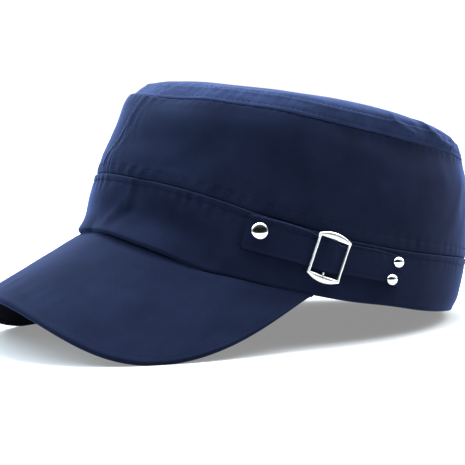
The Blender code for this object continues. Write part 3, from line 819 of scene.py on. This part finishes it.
# ----------------------------------------------------------------------- band
ROUND = 620
ts = np.linspace(0, 2 * math.pi, ROUND, endpoint=False)
arcs = np.linspace(0, 2 * HALF_ROUND, ROUND, endpoint=False)
ts = angle_at(arcs)
lv = dense([(0.0, 0.06, 6), (0.06, 0.84, 22), (0.84, 0.995, 16)])
T, V = np.meshgrid(ts, lv, indexing="ij")
hem_edge = 1.3 * (1 - np.clip(V / 0.055, 0, 1)) ** 2
top_edge = 0.6 * np.clip((V - 0.975) / 0.020, 0, 1) ** 2
stand = band_out(T, V)
outer = off_wall(T, V, stand - hem_edge - top_edge)
slow = 0.6 * broad(T, V)
inner = off_wall(T, V, np.minimum(-BAND_T + slow, stand - 1.2)
                 + hem_edge * 0.6)
uv_round = np.append(arcs, 2 * HALF_ROUND)
uv = np.stack(np.meshgrid(uv_round, rise_of(lv), indexing="ij"), -1) * 0.001
hang = (1.5 * bell(degrees_of(T) - 87, 16) + 0.9 * bell(degrees_of(T) - 114, 13)
        - 0.5 * step(126, 144, degrees_of(T))) * (
            1 - np.clip(V / 0.6, 0, 1)) ** 2
outer[..., 2] -= hang + 0.30 * np.clip(stand - 0.5, 0, 9) * (
    1 - np.clip(V / 0.3, 0, 1)) ** 2 * step(75, 55, degrees_of(T))
inner[..., 2] -= hang
band = keep(shell("band_cloth", outer, inner, uv, BAND_CLOTH, wrap=True),
            "band")

# ----------------------------------------------------------------- side walls
behind = -(BAND_T + GAP)
SIDE_ROWS = [
    (0.90, behind, behind - TUCK_T), (1.000, behind, behind - TUCK_T),
    (1.008, -0.25, behind - TUCK_T), (1.070, -0.2, behind - TUCK_T),
    (1.180, -0.1, -SIDE_T - 0.3), (1.55, 0.0, -SIDE_T), (2.15, 0.0, -SIDE_T),
    (3.02, 0.0, -SIDE_T), (TOP_SEAM - 0.03, 0.0, -SIDE_T),
    (TOP_SEAM - 0.005, -0.2, -SIDE_T),
]
lv = dense([(0.90, 1.0, 3), (1.0, 1.008, 1), (1.008, 1.34, 16),
            (1.34, 2.84, 48), (2.84, TOP_SEAM - 0.005, 16)])
edge = GAP / 2
arcs = np.concatenate([edge + np.linspace(0, 9, 24, endpoint=False),
                       np.linspace(9 + edge, HALF_ROUND - 9, 286, endpoint=False),
                       np.linspace(HALF_ROUND - 9, HALF_ROUND - edge, 16)])
for name, sign in (("left", 1), ("right", -1)):
    T, V = np.meshgrid(sign * angle_at(arcs), lv, indexing="ij")
    no, ni = pieces_between(SIDE_ROWS, V)
    free = step(1.0, 1.008, V)
    slow = broad(T, V) * 0.6
    turn_in = shoulder(T, V)
    stand = no + side_out(T, V) * free + slow * (1 - free)
    outer = off_wall(T, V, stand)
    inner = off_wall(T, V, np.minimum(ni + slow + turn_in - 0.12,
                                      stand - 0.5))
    uv = np.stack(np.meshgrid(sign * arcs, rise_of(lv), indexing="ij"), -1)
    keep(shell("crown_side_%s_cloth" % name, outer, inner, uv * 0.001,
               SIDE_CLOTH), "crown_side_%s" % name)

# the turned-in cloth behind the seams up the front and the back
lv = np.linspace(1.02, TOP_SEAM - 0.05, 60)
for name, middle in (("front", 0.0), ("back", HALF_ROUND)):
    off = np.linspace(-5.0, 5.0, 21)
    at = (np.sign(off) * angle_at(np.abs(off)) if not middle
          else angle_at(middle + off))
    T, V = np.meshgrid(at, lv, indexing="ij")
    ni = pieces_between(SIDE_ROWS, V)[1]
    flat = ni + broad(T, V) * 0.6 + shoulder(T, V) - 0.12
    flat = np.minimum(flat, pieces_between(SIDE_ROWS, V)[0] + side_out(T, V)
                      - 0.5) - 0.12
    uv = np.stack(np.meshgrid(off, rise_of(lv), indexing="ij"), -1) * 0.001
    extra(shell("seam_allowance_" + name, off_wall(T, V, flat),
                off_wall(T, V, flat - 0.6), uv, SIDE_CLOTH))

# ------------------------------------------------------------------ top panel
behind = -(SIDE_T + 2 * GAP)
TOP_ROWS = [
    (3.02, behind, behind - TUCK_T), (TOP_SEAM + 0.002, behind, behind - TUCK_T),
    (TOP_SEAM + 0.006, -0.12, behind - TUCK_T),
    (TOP_SEAM + 0.030, 0.0, behind - TUCK_T),
    (3.34, 0.0, -TOP_T - 0.4), (3.50, 0.0, -TOP_T), (4.9, 0.0, -TOP_T),
]
ROUND_TOP = 560
arcs = np.linspace(0, 2 * HALF_ROUND, ROUND_TOP, endpoint=False)
ts = angle_at(arcs)
lv = dense([(3.02, TOP_SEAM + 0.002, 4), (TOP_SEAM + 0.002, TOP_SEAM + 0.006, 1),
            (TOP_SEAM + 0.006, 3.62, 26), (3.62, 4.35, 24), (4.35, 4.92, 8)])
T, V = np.meshgrid(ts, lv, indexing="ij")
no, ni = pieces_between(TOP_ROWS, V)
free = step(TOP_SEAM + 0.002, TOP_SEAM + 0.006, V)
slow = 0.5 * broad(T, V) * step(9, 2, rise_of(V) - TOP_RISE)
turn_in = shoulder(T, V)
stand = no + top_out(T, V) * free + (slow + turn_in) * (1 - free)
outer = off_wall(T, V, stand)
low = 0.7 * (0.8 * noise3(wall(T, V), 40, 5)) * step(3, 16, rise_of(V) - TOP_RISE)
inner = off_wall(T, V, np.minimum(ni + low + slow + turn_in - 0.1,
                                  stand - 0.5))
peak = wall(0.0, 4.99)
peak[:2] = 0
bump = float(top_out(np.array([0.0]), np.array([4.95]))[0])
run = _rise[-1] - rise_of(lv)
W = wall(T, V)[..., :2]
W = W / np.linalg.norm(W, axis=-1, keepdims=True)
uv = W * run[None, :, None] * 0.001
uv = np.concatenate([uv, uv[:1]])
crown = keep(shell("crown_top_cloth", outer, inner, uv, TOP_CLOTH_PAINTED_LIGHT, wrap=True,
                   pole=(peak + [0, 0, bump], peak + [0, 0, bump - TOP_T],
                         (0.0, 0.0))), "crown_top")


# ----------------------------------------------------------------------- peak
def brim_edge(u):
    u = np.asarray(u, float)
    k = np.abs(u)
    out = (BRIM_LONG * (1 + BRIM_FULLER * k ** 2)
           * np.clip(1 - k ** BRIM_ROUND, 0, 1) ** BRIM_TAPER + 1.2 * k
           + 0.4 + 1.7 * step(0.70, 0.97, k))
    turn = np.radians(BRIM_TURN[0] * u + BRIM_TURN[1] * u ** 3)
    fall = np.radians(BRIM_FALL[0] + BRIM_FALL[1] * k ** 2
                      + BRIM_FALL[2] * k ** 4)
    t = np.radians(PEAK_END) * u
    root = wall(t, 0.0) - np.array([0, 0, 1.0])
    root[..., 2] -= hem_height(t) - hem_plain(t)
    way = np.stack([np.sin(turn) * np.cos(fall),
                    -np.cos(turn) * np.cos(fall), -np.sin(fall)], -1)
    return root + way * out[..., None]


def brim_middle(u, v):
    t = np.radians(PEAK_END) * u
    root = off_wall(t, 0.0 * t, np.full(t.shape, -0.6))
    root[..., 2] = hem_height(t) - GAP - BRIM_T / 2
    edge = brim_edge(u)
    way = edge - off_wall(t, 0.0 * t, np.full(t.shape, -BAND_T))
    way /= np.linalg.norm(way, axis=-1, keepdims=True)
    edge = edge - way * BRIM_T / 2
    v = np.asarray(v, float)[..., None]
    return root * (1 - v) + edge * v, way


def brim_normal(u, v):
    d = 1e-3
    a = brim_middle(u + d, v)[0] - brim_middle(u - d, v)[0]
    b = brim_middle(u, v + d)[0] - brim_middle(u, v - d)[0]
    n = np.cross(a, b)
    n /= np.linalg.norm(n, axis=-1, keepdims=True)
    return n * np.where(n[..., 2:] < 0, -1.0, 1.0)


def brim_length(u):
    u = np.asarray(u, float)
    a, b = brim_middle(u, 0.0 * u)[0], brim_middle(u, 0.0 * u + 1)[0]
    return np.linalg.norm(b - a, axis=-1)


def brim_lift(u, v, long):
    """Relief of the peak's top cloth, in mm. far is the way to the edge."""
    p = brim_middle(u, v)[0]
    far = (1 - v) * long
    full = step(3, 14, long)
    d = 0.30 * noise3(p, 34, 61) + 0.12 * noise3(p, 13, 62)
    d += 0.1 * np.sin(np.clip(v, 0, 1) * math.pi) * full
    along = u * 118.0
    # the turned edge and its row of stitches
    d += 0.04 * bell(far - 0.9, 0.9) - 0.06 * bell(far - 2.4, 0.45) * full
    d += 0.10 * full * pucker(along, far - 12.0, 5.6, 8.6, 71)
    return d * step(0.0, 0.03, v)


def brim_thick(u):
    return BRIM_T * (1 - 0.72 * step(0.86, 1.0, np.abs(u)))


s = np.linspace(-1, 1, 301)
us = 0.65 * s + 0.35 * np.sin(s * math.pi / 2)
angle = np.radians(PEAK_END) * us
root_top = off_wall(angle, 0 * angle, np.full(angle.shape, -BAND_T))
root_top[:, 2] = hem_height(angle) + 0.05
root_out = off_wall(angle, 0 * angle, np.full(angle.shape, -0.4))
root_out[:, 2] = hem_height(angle) - 0.05
root_low = root_top.copy()
root_low[:, 2] -= brim_thick(us) + GAP
vs = np.concatenate([np.linspace(0.05, 0.78, 34, endpoint=False),
                     np.linspace(0.78, 1.0, 30)])
U, Vv = np.meshgrid(us, vs, indexing="ij")
long = np.broadcast_to(brim_length(us)[:, None], U.shape)
mid, N = brim_middle(U, Vv)[0], brim_normal(U, Vv)
lower = (BRIM_T - brim_thick(U)) * 1.0
top_side = mid + N * (BRIM_T / 2 + brim_lift(U, Vv, long))[..., None]
belly = 0.12 * noise3(mid, 20, 64) - 0.20 * bell((1 - Vv) * long - 2.6, 0.6)
low_side = mid - N * (BRIM_T / 2 + belly - lower)[..., None]
rim, way = brim_middle(us, 0 * us + 1)
up = brim_normal(us, 0 * us + 1)
half = (brim_thick(us) / 2)[:, None]
heart = rim + up * (BRIM_T / 2 - half)
round_edge = [heart + (way * math.cos(math.radians(g))
                       + up * math.sin(math.radians(g))) * half
              for g in (72, 54, 36, 18, 0, -18, -36, -54, -72)]
loops = ([root_top, root_out] + [top_side[:, j] for j in range(len(vs))]
         + round_edge + [low_side[:, j] for j in range(len(vs))[::-1]]
         + [root_low])
L = np.stack(loops, 1)
k, m = L.shape[:2]
gone = np.concatenate([np.zeros((k, 1)), np.cumsum(
    np.linalg.norm(np.diff(L, axis=1), axis=2), axis=1)], 1)
I, J = (g.ravel() for g in np.meshgrid(np.arange(k - 1), np.arange(m),
                                       indexing="ij"))
J2 = (J + 1) % m
quads = np.stack([I * m + J, (I + 1) * m + J, (I + 1) * m + J2, I * m + J2], -1)
gx = np.broadcast_to((us * 118.0)[:, None], (k, m))
gone = np.concatenate([gone, gone[:, -1:] + BRIM_T], 1)
J3 = J + 1
cuv = np.stack([np.stack([gx[a, np.minimum(b, m - 1)], gone[a, b]], -1)
                for a, b in ((I, J), (I + 1, J), (I + 1, J3), (I, J3))], 1)
verts = L.reshape(-1, 3)
if signed_volume(verts, quads) < 0:
    quads, cuv = quads[:, ::-1], cuv[:, ::-1]
    caps = [tuple((k - 1) * m + j for j in range(m))[::1],
            tuple(j for j in range(m))[::-1]]
else:
    caps = [tuple(j for j in range(m)),
            tuple((k - 1) * m + j for j in range(m))[::-1]]
me = bpy.data.meshes.new("brim_cloth")
me.from_pydata(to_world(verts).tolist(), [],
               [tuple(f) for f in quads.tolist()] + caps)
layer = me.uv_layers.new(name="cloth")
flat = np.zeros((len(quads) * 4 + 2 * m, 2), np.float32)
flat[:len(quads) * 4] = cuv.reshape(-1, 2) * 0.001
layer.data.foreach_set("uv", flat.ravel())
me.shade_smooth()
me.materials.append(BRIM_CLOTH)
me.materials.append(BRIM_UNDER_PAINTED_SHADE)
under_from = 2 + len(vs) + 6
# painted shade: the faces under the peak, from the lower part of its rounded edge
# to the root, take the darker cloth
under_painted_shade = np.zeros(len(me.polygons), np.int32)
under_painted_shade[:len(quads)] = (J >= under_from) & (J < m - 1)
me.polygons.foreach_set("material_index", under_painted_shade)
brim = bpy.data.objects.new("brim_cloth", me)
bpy.context.collection.objects.link(brim)
keep(brim, "brim")


# ---------------------------------------------------------------------- strap
def strap_edges(deg):
    xs = [r[0] for r in STRAP_ROWS]
    return (smooth_table(xs, [r[1] for r in STRAP_ROWS], deg),
            smooth_table(xs, [r[2] for r in STRAP_ROWS], deg))


MM_PER_DEG = 1.85


def strap_place(f, w):
    """Angle, height and rise of the strap at f along it and w across it."""
    f, w = np.broadcast_arrays(np.asarray(f, float), np.asarray(w, float))
    d = np.minimum(w, 1 - w) * 16.0
    r = STRAP_CORNER
    cut = np.where(d < r, r - np.sqrt(np.clip(r * r - (r - d) ** 2, 0, None)), 0)
    start = 53.4 + 1.2 * w + cut / MM_PER_DEG * np.where(w < 0.5, 1.0, 0.3)
    stop = 101.5 + 0.8 * w - cut / MM_PER_DEG
    deg = start + f * (stop - start)
    low, high = strap_edges(deg)
    z = low + w * (high - low)
    tall = z - BUCKLE_Z
    turned = math.tan(math.radians(-BUCKLE_TURN)) * tall / MM_PER_DEG
    off = (deg - BUCKLE_AT - turned) / 4.3
    hump = STRAP_HUMP + math.sin(math.radians(BUCKLE_LEAN)) * tall
    rise = np.where(np.abs(off) < 1,
                    hump * np.cos(np.clip(off, -1, 1) * math.pi / 2) ** 2, 0)
    return np.radians(deg), z, rise, off


def strap_point(f, w, out):
    t, z, rise, off = strap_place(f, w)
    lv = level_at(t, z)
    return t, lv, off_wall(t, lv, band_out(t, lv) * 0.85 + rise + out)


fs = np.concatenate([np.linspace(0, 0.06, 14, endpoint=False),
                     np.linspace(0.06, 0.40, 56, endpoint=False),
                     np.linspace(0.40, 0.62, 60, endpoint=False),
                     np.linspace(0.62, 0.94, 52, endpoint=False),
                     np.linspace(0.94, 1.0, 14)])
ws = np.concatenate([np.linspace(0, 0.05, 6, endpoint=False),
                     np.linspace(0.05, 0.22, 10, endpoint=False),
                     np.linspace(0.22, 0.78, 14, endpoint=False),
                     np.linspace(0.78, 0.95, 10, endpoint=False),
                     np.linspace(0.95, 1.0, 6)])
Fg, Wg = np.meshgrid(fs, ws, indexing="ij")
tg, zg, rg, og = strap_place(Fg, Wg)
from_edge = np.minimum(np.minimum(Wg, 1 - Wg) * 16.5,
                       np.minimum(Fg, 1 - Fg) * 89.0)
round_off = STRAP_T * 0.30 * (1 - np.clip(from_edge / 0.5, 0, 1)) ** 2
along = Fg * 89.0
high_edge = bell((1 - Wg) * 16.5 - 0.9, 0.9) * step(0.0, 0.03, Fg)
relief = (-0.10 * bell(from_edge - 2.1, 0.4)
          + 0.45 * high_edge * step(0.52, 0.40, Fg)
          + 0.50 * high_edge * step(0.60, 0.40, Fg) * pucker(
              along, 0 * along, 1.6, 3.3, 81)
          + 0.10 * noise3(wall(tg, 0 * tg + 0.5), 9, 82))
pressed = 0.35 * bell(np.abs(og) - 1.02, 0.16)
outer = strap_point(Fg, Wg, STRAP_CLEAR + STRAP_T - round_off + relief
                    - pressed)[2]
inner = strap_point(Fg, Wg, STRAP_CLEAR - 0.1 + 0 * Fg)[2]
uv = np.stack([Fg * 89.0, Wg * 16.5], -1) * 0.001
strap = keep(shell("strap_cloth", outer, inner, uv, STRAP_CLOTH), "strap")
me = strap.data
me.materials.append(STRAP_EDGE_PAINTED_SHADE)
gridded = (len(fs) - 1) * (len(ws) - 1)
# painted shade: all the strap's edge walls, and a 0.45 mm rim along its lower edge,
# the lower halves of its ends and its whole front end, take the darker cloth
painted_shade_slot = np.zeros(len(me.polygons), np.int32)
painted_shade_slot[2 * gridded:] = 1
painted_shade_cells = (from_edge < 0.45) & ((Wg < 0.5) | (Fg < 0.02))
painted_shade_slot[:gridded][painted_shade_cells[:-1, :-1].ravel()] = 1
me.polygons.foreach_set("material_index", painted_shade_slot)
me.set_sharp_from_angle(angle=math.radians(40))

# ------------------------------------------------------------------- stitches
crown_rows = Threads()
arcs = np.linspace(-HALF_ROUND, HALF_ROUND, 1200)
ts = angle_at(arcs)


def lay(threads, t, level, stand, **how):
    t, level = np.broadcast_arrays(np.asarray(t, float),
                                   np.asarray(level, float))
    threads.row(off_wall(t, level, stand), wall_frame(t, level)[2], **how)


band_rows = Threads()
low = level_of(SEAM_RISE - 3.6)
lay(band_rows, ts, low, band_out(ts, low + 0 * ts) + 0.08)
band_rows = extra(band_rows.build("band_stitches", THREAD))

side_rows = Threads()
for sign in (1, -1):
    part = ts[np.sign(arcs) == sign]
    part = part[(np.abs(arc_of(part)) > 5.5)
                & (np.abs(arc_of(part)) < HALF_ROUND - 5.5)]
    high = level_of(SEAM_RISE + 5.4)
    no = np.interp(high, [r[0] for r in SIDE_ROWS], [r[1] for r in SIDE_ROWS])
    lay(side_rows, part, high, side_out(part, high + 0 * part) + no + 0.08)
    lvs = np.linspace(1.06, TOP_SEAM - 0.04, 220)
    for at in (4.4, HALF_ROUND - 4.4):
        t = angle_at(sign * at) + 0 * lvs
        no = np.interp(lvs, [r[0] for r in SIDE_ROWS], [r[1] for r in SIDE_ROWS])
        lay(side_rows, t, lvs, side_out(t, lvs) + no + 0.08)
side_rows = extra(side_rows.build("side_stitches", THREAD))

top_rows = Threads()
for over in (2.2, 8.0):
    high = level_of(TOP_RISE + over)
    lay(top_rows, ts, high, top_out(ts, high + 0 * ts) + 0.08)
top_rows = extra(top_rows.build("top_stitches", THREAD))

brim_rows = Threads()
uu = np.linspace(-0.93, 0.93, 500)
ll = brim_length(uu)
for back in (2.4,):
    v = 1 - back / ll
    okay = v > 0.12
    pts = brim_middle(uu, v)[0]
    nn = brim_normal(uu, v)
    lift = brim_lift(uu, v, ll)
    pts = pts + nn * (BRIM_T / 2 + lift + 0.06)[:, None]
    brim_rows.row(pts[okay], nn[okay], radius=0.16)
brim_rows = extra(brim_rows.build("brim_stitches", THREAD))

strap_rows = Threads()
inset_w, inset_f = 2.1 / 16.5, 2.1 / 89.0
runs = []
ff = np.linspace(inset_f * 1.6, 1 - inset_f * 1.6, 300)
for w in (inset_w, 1 - inset_w):
    runs.append((ff, np.full(ff.shape, w)))
ww = np.linspace(inset_w * 1.4, 1 - inset_w * 1.4, 60)
for f in (inset_f, 1 - inset_f):
    runs.append((np.full(ww.shape, f), ww))
for f, w in runs:
    t, lvl, pts = strap_point(f, w, STRAP_CLEAR + STRAP_T - 0.08)
    if len(np.unique(f)) > 1:
        # the side bars press on these stitches, so each side of them is a run
        off = strap_place(f, w)[3]
        for keep_it in (off < -1.12, np.abs(off) < 0.84, off > 1.12):
            if keep_it.sum() > 8:
                strap_rows.row(pts[keep_it], wall_frame(t, lvl)[2][keep_it],
                               pitch=2.5, length=1.8, radius=0.15)
    else:
        strap_rows.row(pts, wall_frame(t, lvl)[2], pitch=2.5, length=1.8,
                       radius=0.15)
strap_rows = extra(strap_rows.build("strap_stitches", THREAD))

# --------------------------------------------------------------------- buckle
bt = math.radians(BUCKLE_AT)
blv = float(level_at(bt, BUCKLE_Z))
e1, e2, e3 = (v.reshape(3) for v in wall_frame(bt, blv))
turn, lean = math.radians(BUCKLE_TURN), math.radians(BUCKLE_LEAN)
along_b = e1 * math.cos(turn) + e2 * math.sin(turn)
upward = e2 * math.cos(turn) - e1 * math.sin(turn)
upward = upward * math.cos(lean) + e3 * math.sin(lean)
facing = np.cross(along_b, upward)
facing /= np.linalg.norm(facing)
if facing @ e3 < 0:
    facing = -facing
centre = wall(bt, blv) + e3 * BUCKLE_LIFT


def on_buckle(x, y, n):
    return centre + along_b * x + upward * y + facing * n


def buckle_rings():
    """Rings round the frame: side bars narrow, both ends bowed and domed."""
    hw, hh, bar = BUCKLE_W / 2, BUCKLE_H / 2, BUCKLE_BAR
    fr = 0.5 - 0.5 * np.cos(np.linspace(0.0, math.pi, 41))
    stations = []
    for sign in (1, -1):
        for f in fr:
            x = (-hw + 2 * hw * f) * sign
            xi = (-hw + bar + (2 * hw - 2 * bar) * f) * sign
            bow = BUCKLE_BOW * (4 * f * (1 - f)) ** 0.9
            nip = -0.30 * (bell(f, 0.05) + bell(1 - f, 0.05))
            stations.append(((xi, (hh - bar) * sign),
                             (x - np.sign(x) * nip,
                              (hh + bow) * sign), 4 * f * (1 - f)))
        a, b = stations[-1], None
        x = hw * sign
        for g in np.linspace(0, 1, 12)[1:-1]:
            y = (hh - bar) * sign * (1 - 2 * g)
            stations.append((((hw - bar) * sign, y), (x, y), 0.0))
    turns = np.linspace(0, 2 * math.pi, 20, endpoint=False)
    out = []
    for (xi, yi), (xo, yo), wide in stations:
        ring = []
        for a in turns:
            ca, sa = math.cos(a), math.sin(a)
            f = 0.5 + 0.5 * np.sign(ca) * abs(ca) ** 0.62
            h = 0.5 + 0.5 * np.sign(sa) * abs(sa) ** 0.75
            dome = 0.30 * wide * max(0.0, sa) * (1 - (2 * f - 1) ** 2)
            ring.append(on_buckle(xi + (xo - xi) * f, yi + (yo - yi) * f,
                                  BUCKLE_T * h + dome))
        out.append(ring)
    return out


buckle = keep(tube("buckle_nickel", buckle_rings(), NICKEL, closed=True),
              "buckle_frame")


def rod(name, a, b, radius, sides, mat):
    a, b = np.asarray(a, float), np.asarray(b, float)
    d = (b - a) / np.linalg.norm(b - a)
    p = np.cross(d, [0.3, 0.2, 1.0])
    p /= np.linalg.norm(p)
    q = np.cross(d, p)
    ring = [(math.cos(2 * math.pi * k / sides), math.sin(2 * math.pi * k / sides))
            for k in range(sides)]
    return tube(name, [[a + (b - a) * f + (p * u + q * v) * radius * w
                        for u, v in ring]
                       for f, w in ((0, 0.8), (0.03, 1), (0.2, 1), (0.5, 0.96),
                                    (0.8, 1), (0.97, 1), (1, 0.8))],
                mat, closed=False)


reach = BUCKLE_H / 2 - 0.35
extra(rod("buckle_centre_bar", on_buckle(0, -reach, -0.2),
          on_buckle(0, 0.45 * reach, -0.5), CENTRE_BAR_R + 0.05, 20, NICKEL))

# --------------------------------------------------------------------- rivets
for name, deg, z, cap_r, cap_h in RIVET_ROWS:
    t = math.radians(deg)
    lvl = float(level_at(t, z))
    a, b, n = (v.reshape(3) for v in wall_frame(t, lvl))
    at = wall(t, lvl) + n * float(0.85 * band_out(np.array([t]),
                                                  np.array([lvl]))[0])
    seat = STRAP_CLEAR + STRAP_T + 0.02
    inside = -BAND_T - GAP
    wide = 1.0 if name == "rivet_front" else 1.16
    cap_h = cap_h if name == "rivet_front" else cap_h + 1.1
    prof = [(cap_r * math.sin(math.radians(g)),
             seat + 0.55 + (cap_h - 0.55) * math.cos(math.radians(g)))
            for g in (2, 8, 16, 24, 32, 40, 48, 56, 64, 72, 80, 86, 90)]
    prof += [(cap_r * 0.995, seat + 0.35), (cap_r * 0.96, seat + 0.12),
             (cap_r * 0.90, seat), (1.4, seat), (1.4, inside), (2.4, inside),
             (2.4, inside - 0.5), (2.2, inside - 0.7), (0.9, inside - 0.7)]
    sides = 56
    rings = [[at + n * h + (a * math.cos(2 * math.pi * k / sides) * wide
                            + b * math.sin(2 * math.pi * k / sides)) * r
              for k in range(sides)] for r, h in prof]
    keep(tube(name + "_nickel", rings, RIVET_METAL, closed=False), name)

# ----------------------------------------------------- floor, light and camera
floor_mat = bpy.data.materials.new("floor")
nt, sh = nodes_of(floor_mat)
sh.inputs["Base Color"].default_value = (0.37, 0.37, 0.37, 1)
sh.inputs["Roughness"].default_value = 0.9
sh.inputs["Specular IOR Level"].default_value = 0.1
sh.inputs["Emission Color"].default_value = (1, 1, 1, 1)
sh.inputs["Emission Strength"].default_value = 0.27
me = bpy.data.meshes.new("floor")
R, segs = 7.0, 64
ring = [(R * math.cos(2 * math.pi * k / segs), R * math.sin(2 * math.pi * k / segs),
         0.0) for k in range(segs)]
me.from_pydata(ring, [], [tuple(range(segs))])
me.materials.append(floor_mat)
floor = bpy.data.objects.new("floor", me)
bpy.context.collection.objects.link(floor)

AIM = Vector((0.0, 0.0, 0.055))


def area(name, way, far, size, watts, colour=(1, 1, 1)):
    lamp = bpy.data.lights.new(name, "AREA")
    lamp.shape, lamp.size, lamp.energy = "DISK", size, watts
    lamp.color = colour
    ob = bpy.data.objects.new(name, lamp)
    bpy.context.collection.objects.link(ob)
    way = Vector(way).normalized()
    ob.location = AIM + way * far
    ob.rotation_euler = way.to_track_quat("Z", "Y").to_euler()
    return ob


key = area("key", (-0.42, -0.88, 0.80), 1.8, 1.2, 26, (0.64, 0.92, 1.15))
rim = area("rim", (-0.10, 0.95, 0.34), 1.8, 1.0, 16)
ear_side = area("ear_side", (0.25, 0.62, 1.00), 1.8, 1.2, 20, (0.86, 0.96, 1.05))
behind_it = area("behind", (-0.85, 0.20, 0.52), 1.8, 1.3, 26, (0.88, 0.99, 1.08))

overhead = area("overhead", (-0.13, 0.08, 1.0), 1.8, 0.8, 62, (0.74, 0.96, 1.12))

# white all round, with the dim side of the room behind the camera
world = bpy.data.worlds.new("studio")
bpy.context.scene.world = world
world.use_nodes = True
wt = world.node_tree
wt.nodes.clear()
wout = wt.nodes.new("ShaderNodeOutputWorld")
seen = wt.nodes.new("ShaderNodeBackground")
lit = wt.nodes.new("ShaderNodeBackground")
seen.inputs["Color"].default_value = (1, 1, 1, 1)
seen.inputs["Strength"].default_value = 1.05
path = wt.nodes.new("ShaderNodeLightPath")
mix = wt.nodes.new("ShaderNodeMixShader")
coord = wt.nodes.new("ShaderNodeTexCoord")
facing_us = wt.nodes.new("ShaderNodeVectorMath")
facing_us.operation = "DOT_PRODUCT"
facing_us.inputs[1].default_value = (0.95, -0.29, 0.08)
wt.links.new(coord.outputs["Generated"], facing_us.inputs[0])
room = wt.nodes.new("ShaderNodeMapRange")
room.interpolation_type = "SMOOTHSTEP"
room.inputs["From Min"].default_value = 0.12
room.inputs["From Max"].default_value = 0.72
room.inputs["To Min"].default_value = 1.0
room.inputs["To Max"].default_value = 0.02
wt.links.new(facing_us.outputs["Value"], room.inputs["Value"])
tall = wt.nodes.new("ShaderNodeSeparateXYZ")
wt.links.new(coord.outputs["Generated"], tall.inputs[0])
sky = wt.nodes.new("ShaderNodeMapRange")
sky.interpolation_type = "SMOOTHSTEP"
sky.inputs["From Min"].default_value = 0.35
sky.inputs["From Max"].default_value = 0.92
sky.inputs["To Min"].default_value = 0.45
sky.inputs["To Max"].default_value = 6.0
wt.links.new(tall.outputs["Z"], sky.inputs["Value"])
both = wt.nodes.new("ShaderNodeMath")
both.operation = "MULTIPLY"
wt.links.new(sky.outputs[0], both.inputs[0])
wt.links.new(room.outputs[0], both.inputs[1])
wt.links.new(both.outputs[0], lit.inputs["Strength"])
lit.inputs["Color"].default_value = (0.94, 0.99, 1.04, 1)
wt.links.new(path.outputs["Is Camera Ray"], mix.inputs[0])
wt.links.new(lit.outputs[0], mix.inputs[1])
wt.links.new(seen.outputs[0], mix.inputs[2])
wt.links.new(mix.outputs[0], wout.inputs[0])

cam = bpy.data.cameras.new("camera")
cam.sensor_fit, cam.sensor_width, cam.lens = "HORIZONTAL", 36.0, 119.829
cam.clip_start, cam.clip_end = 0.05, 50
camera = bpy.data.objects.new("camera", cam)
bpy.context.collection.objects.link(camera)
right = Vector((0.5021759, 0.86458022, -0.01789983))
upv = Vector((-0.07412751, 0.06366006, 0.99521481))
back = Vector((0.86158254, -0.49844602, 0.09605773))
camera.matrix_world = Matrix((
    (right.x, upv.x, back.x, 0.69020224),
    (right.y, upv.y, back.y, -0.40176348),
    (right.z, upv.z, back.z, 0.12668082),
    (0, 0, 0, 1)))
scene = bpy.context.scene
scene.camera = camera
scene.view_settings.view_transform = "Standard"
scene.view_settings.look = "None"
scene.view_settings.exposure = 0.0

bpy.context.view_layer.update()
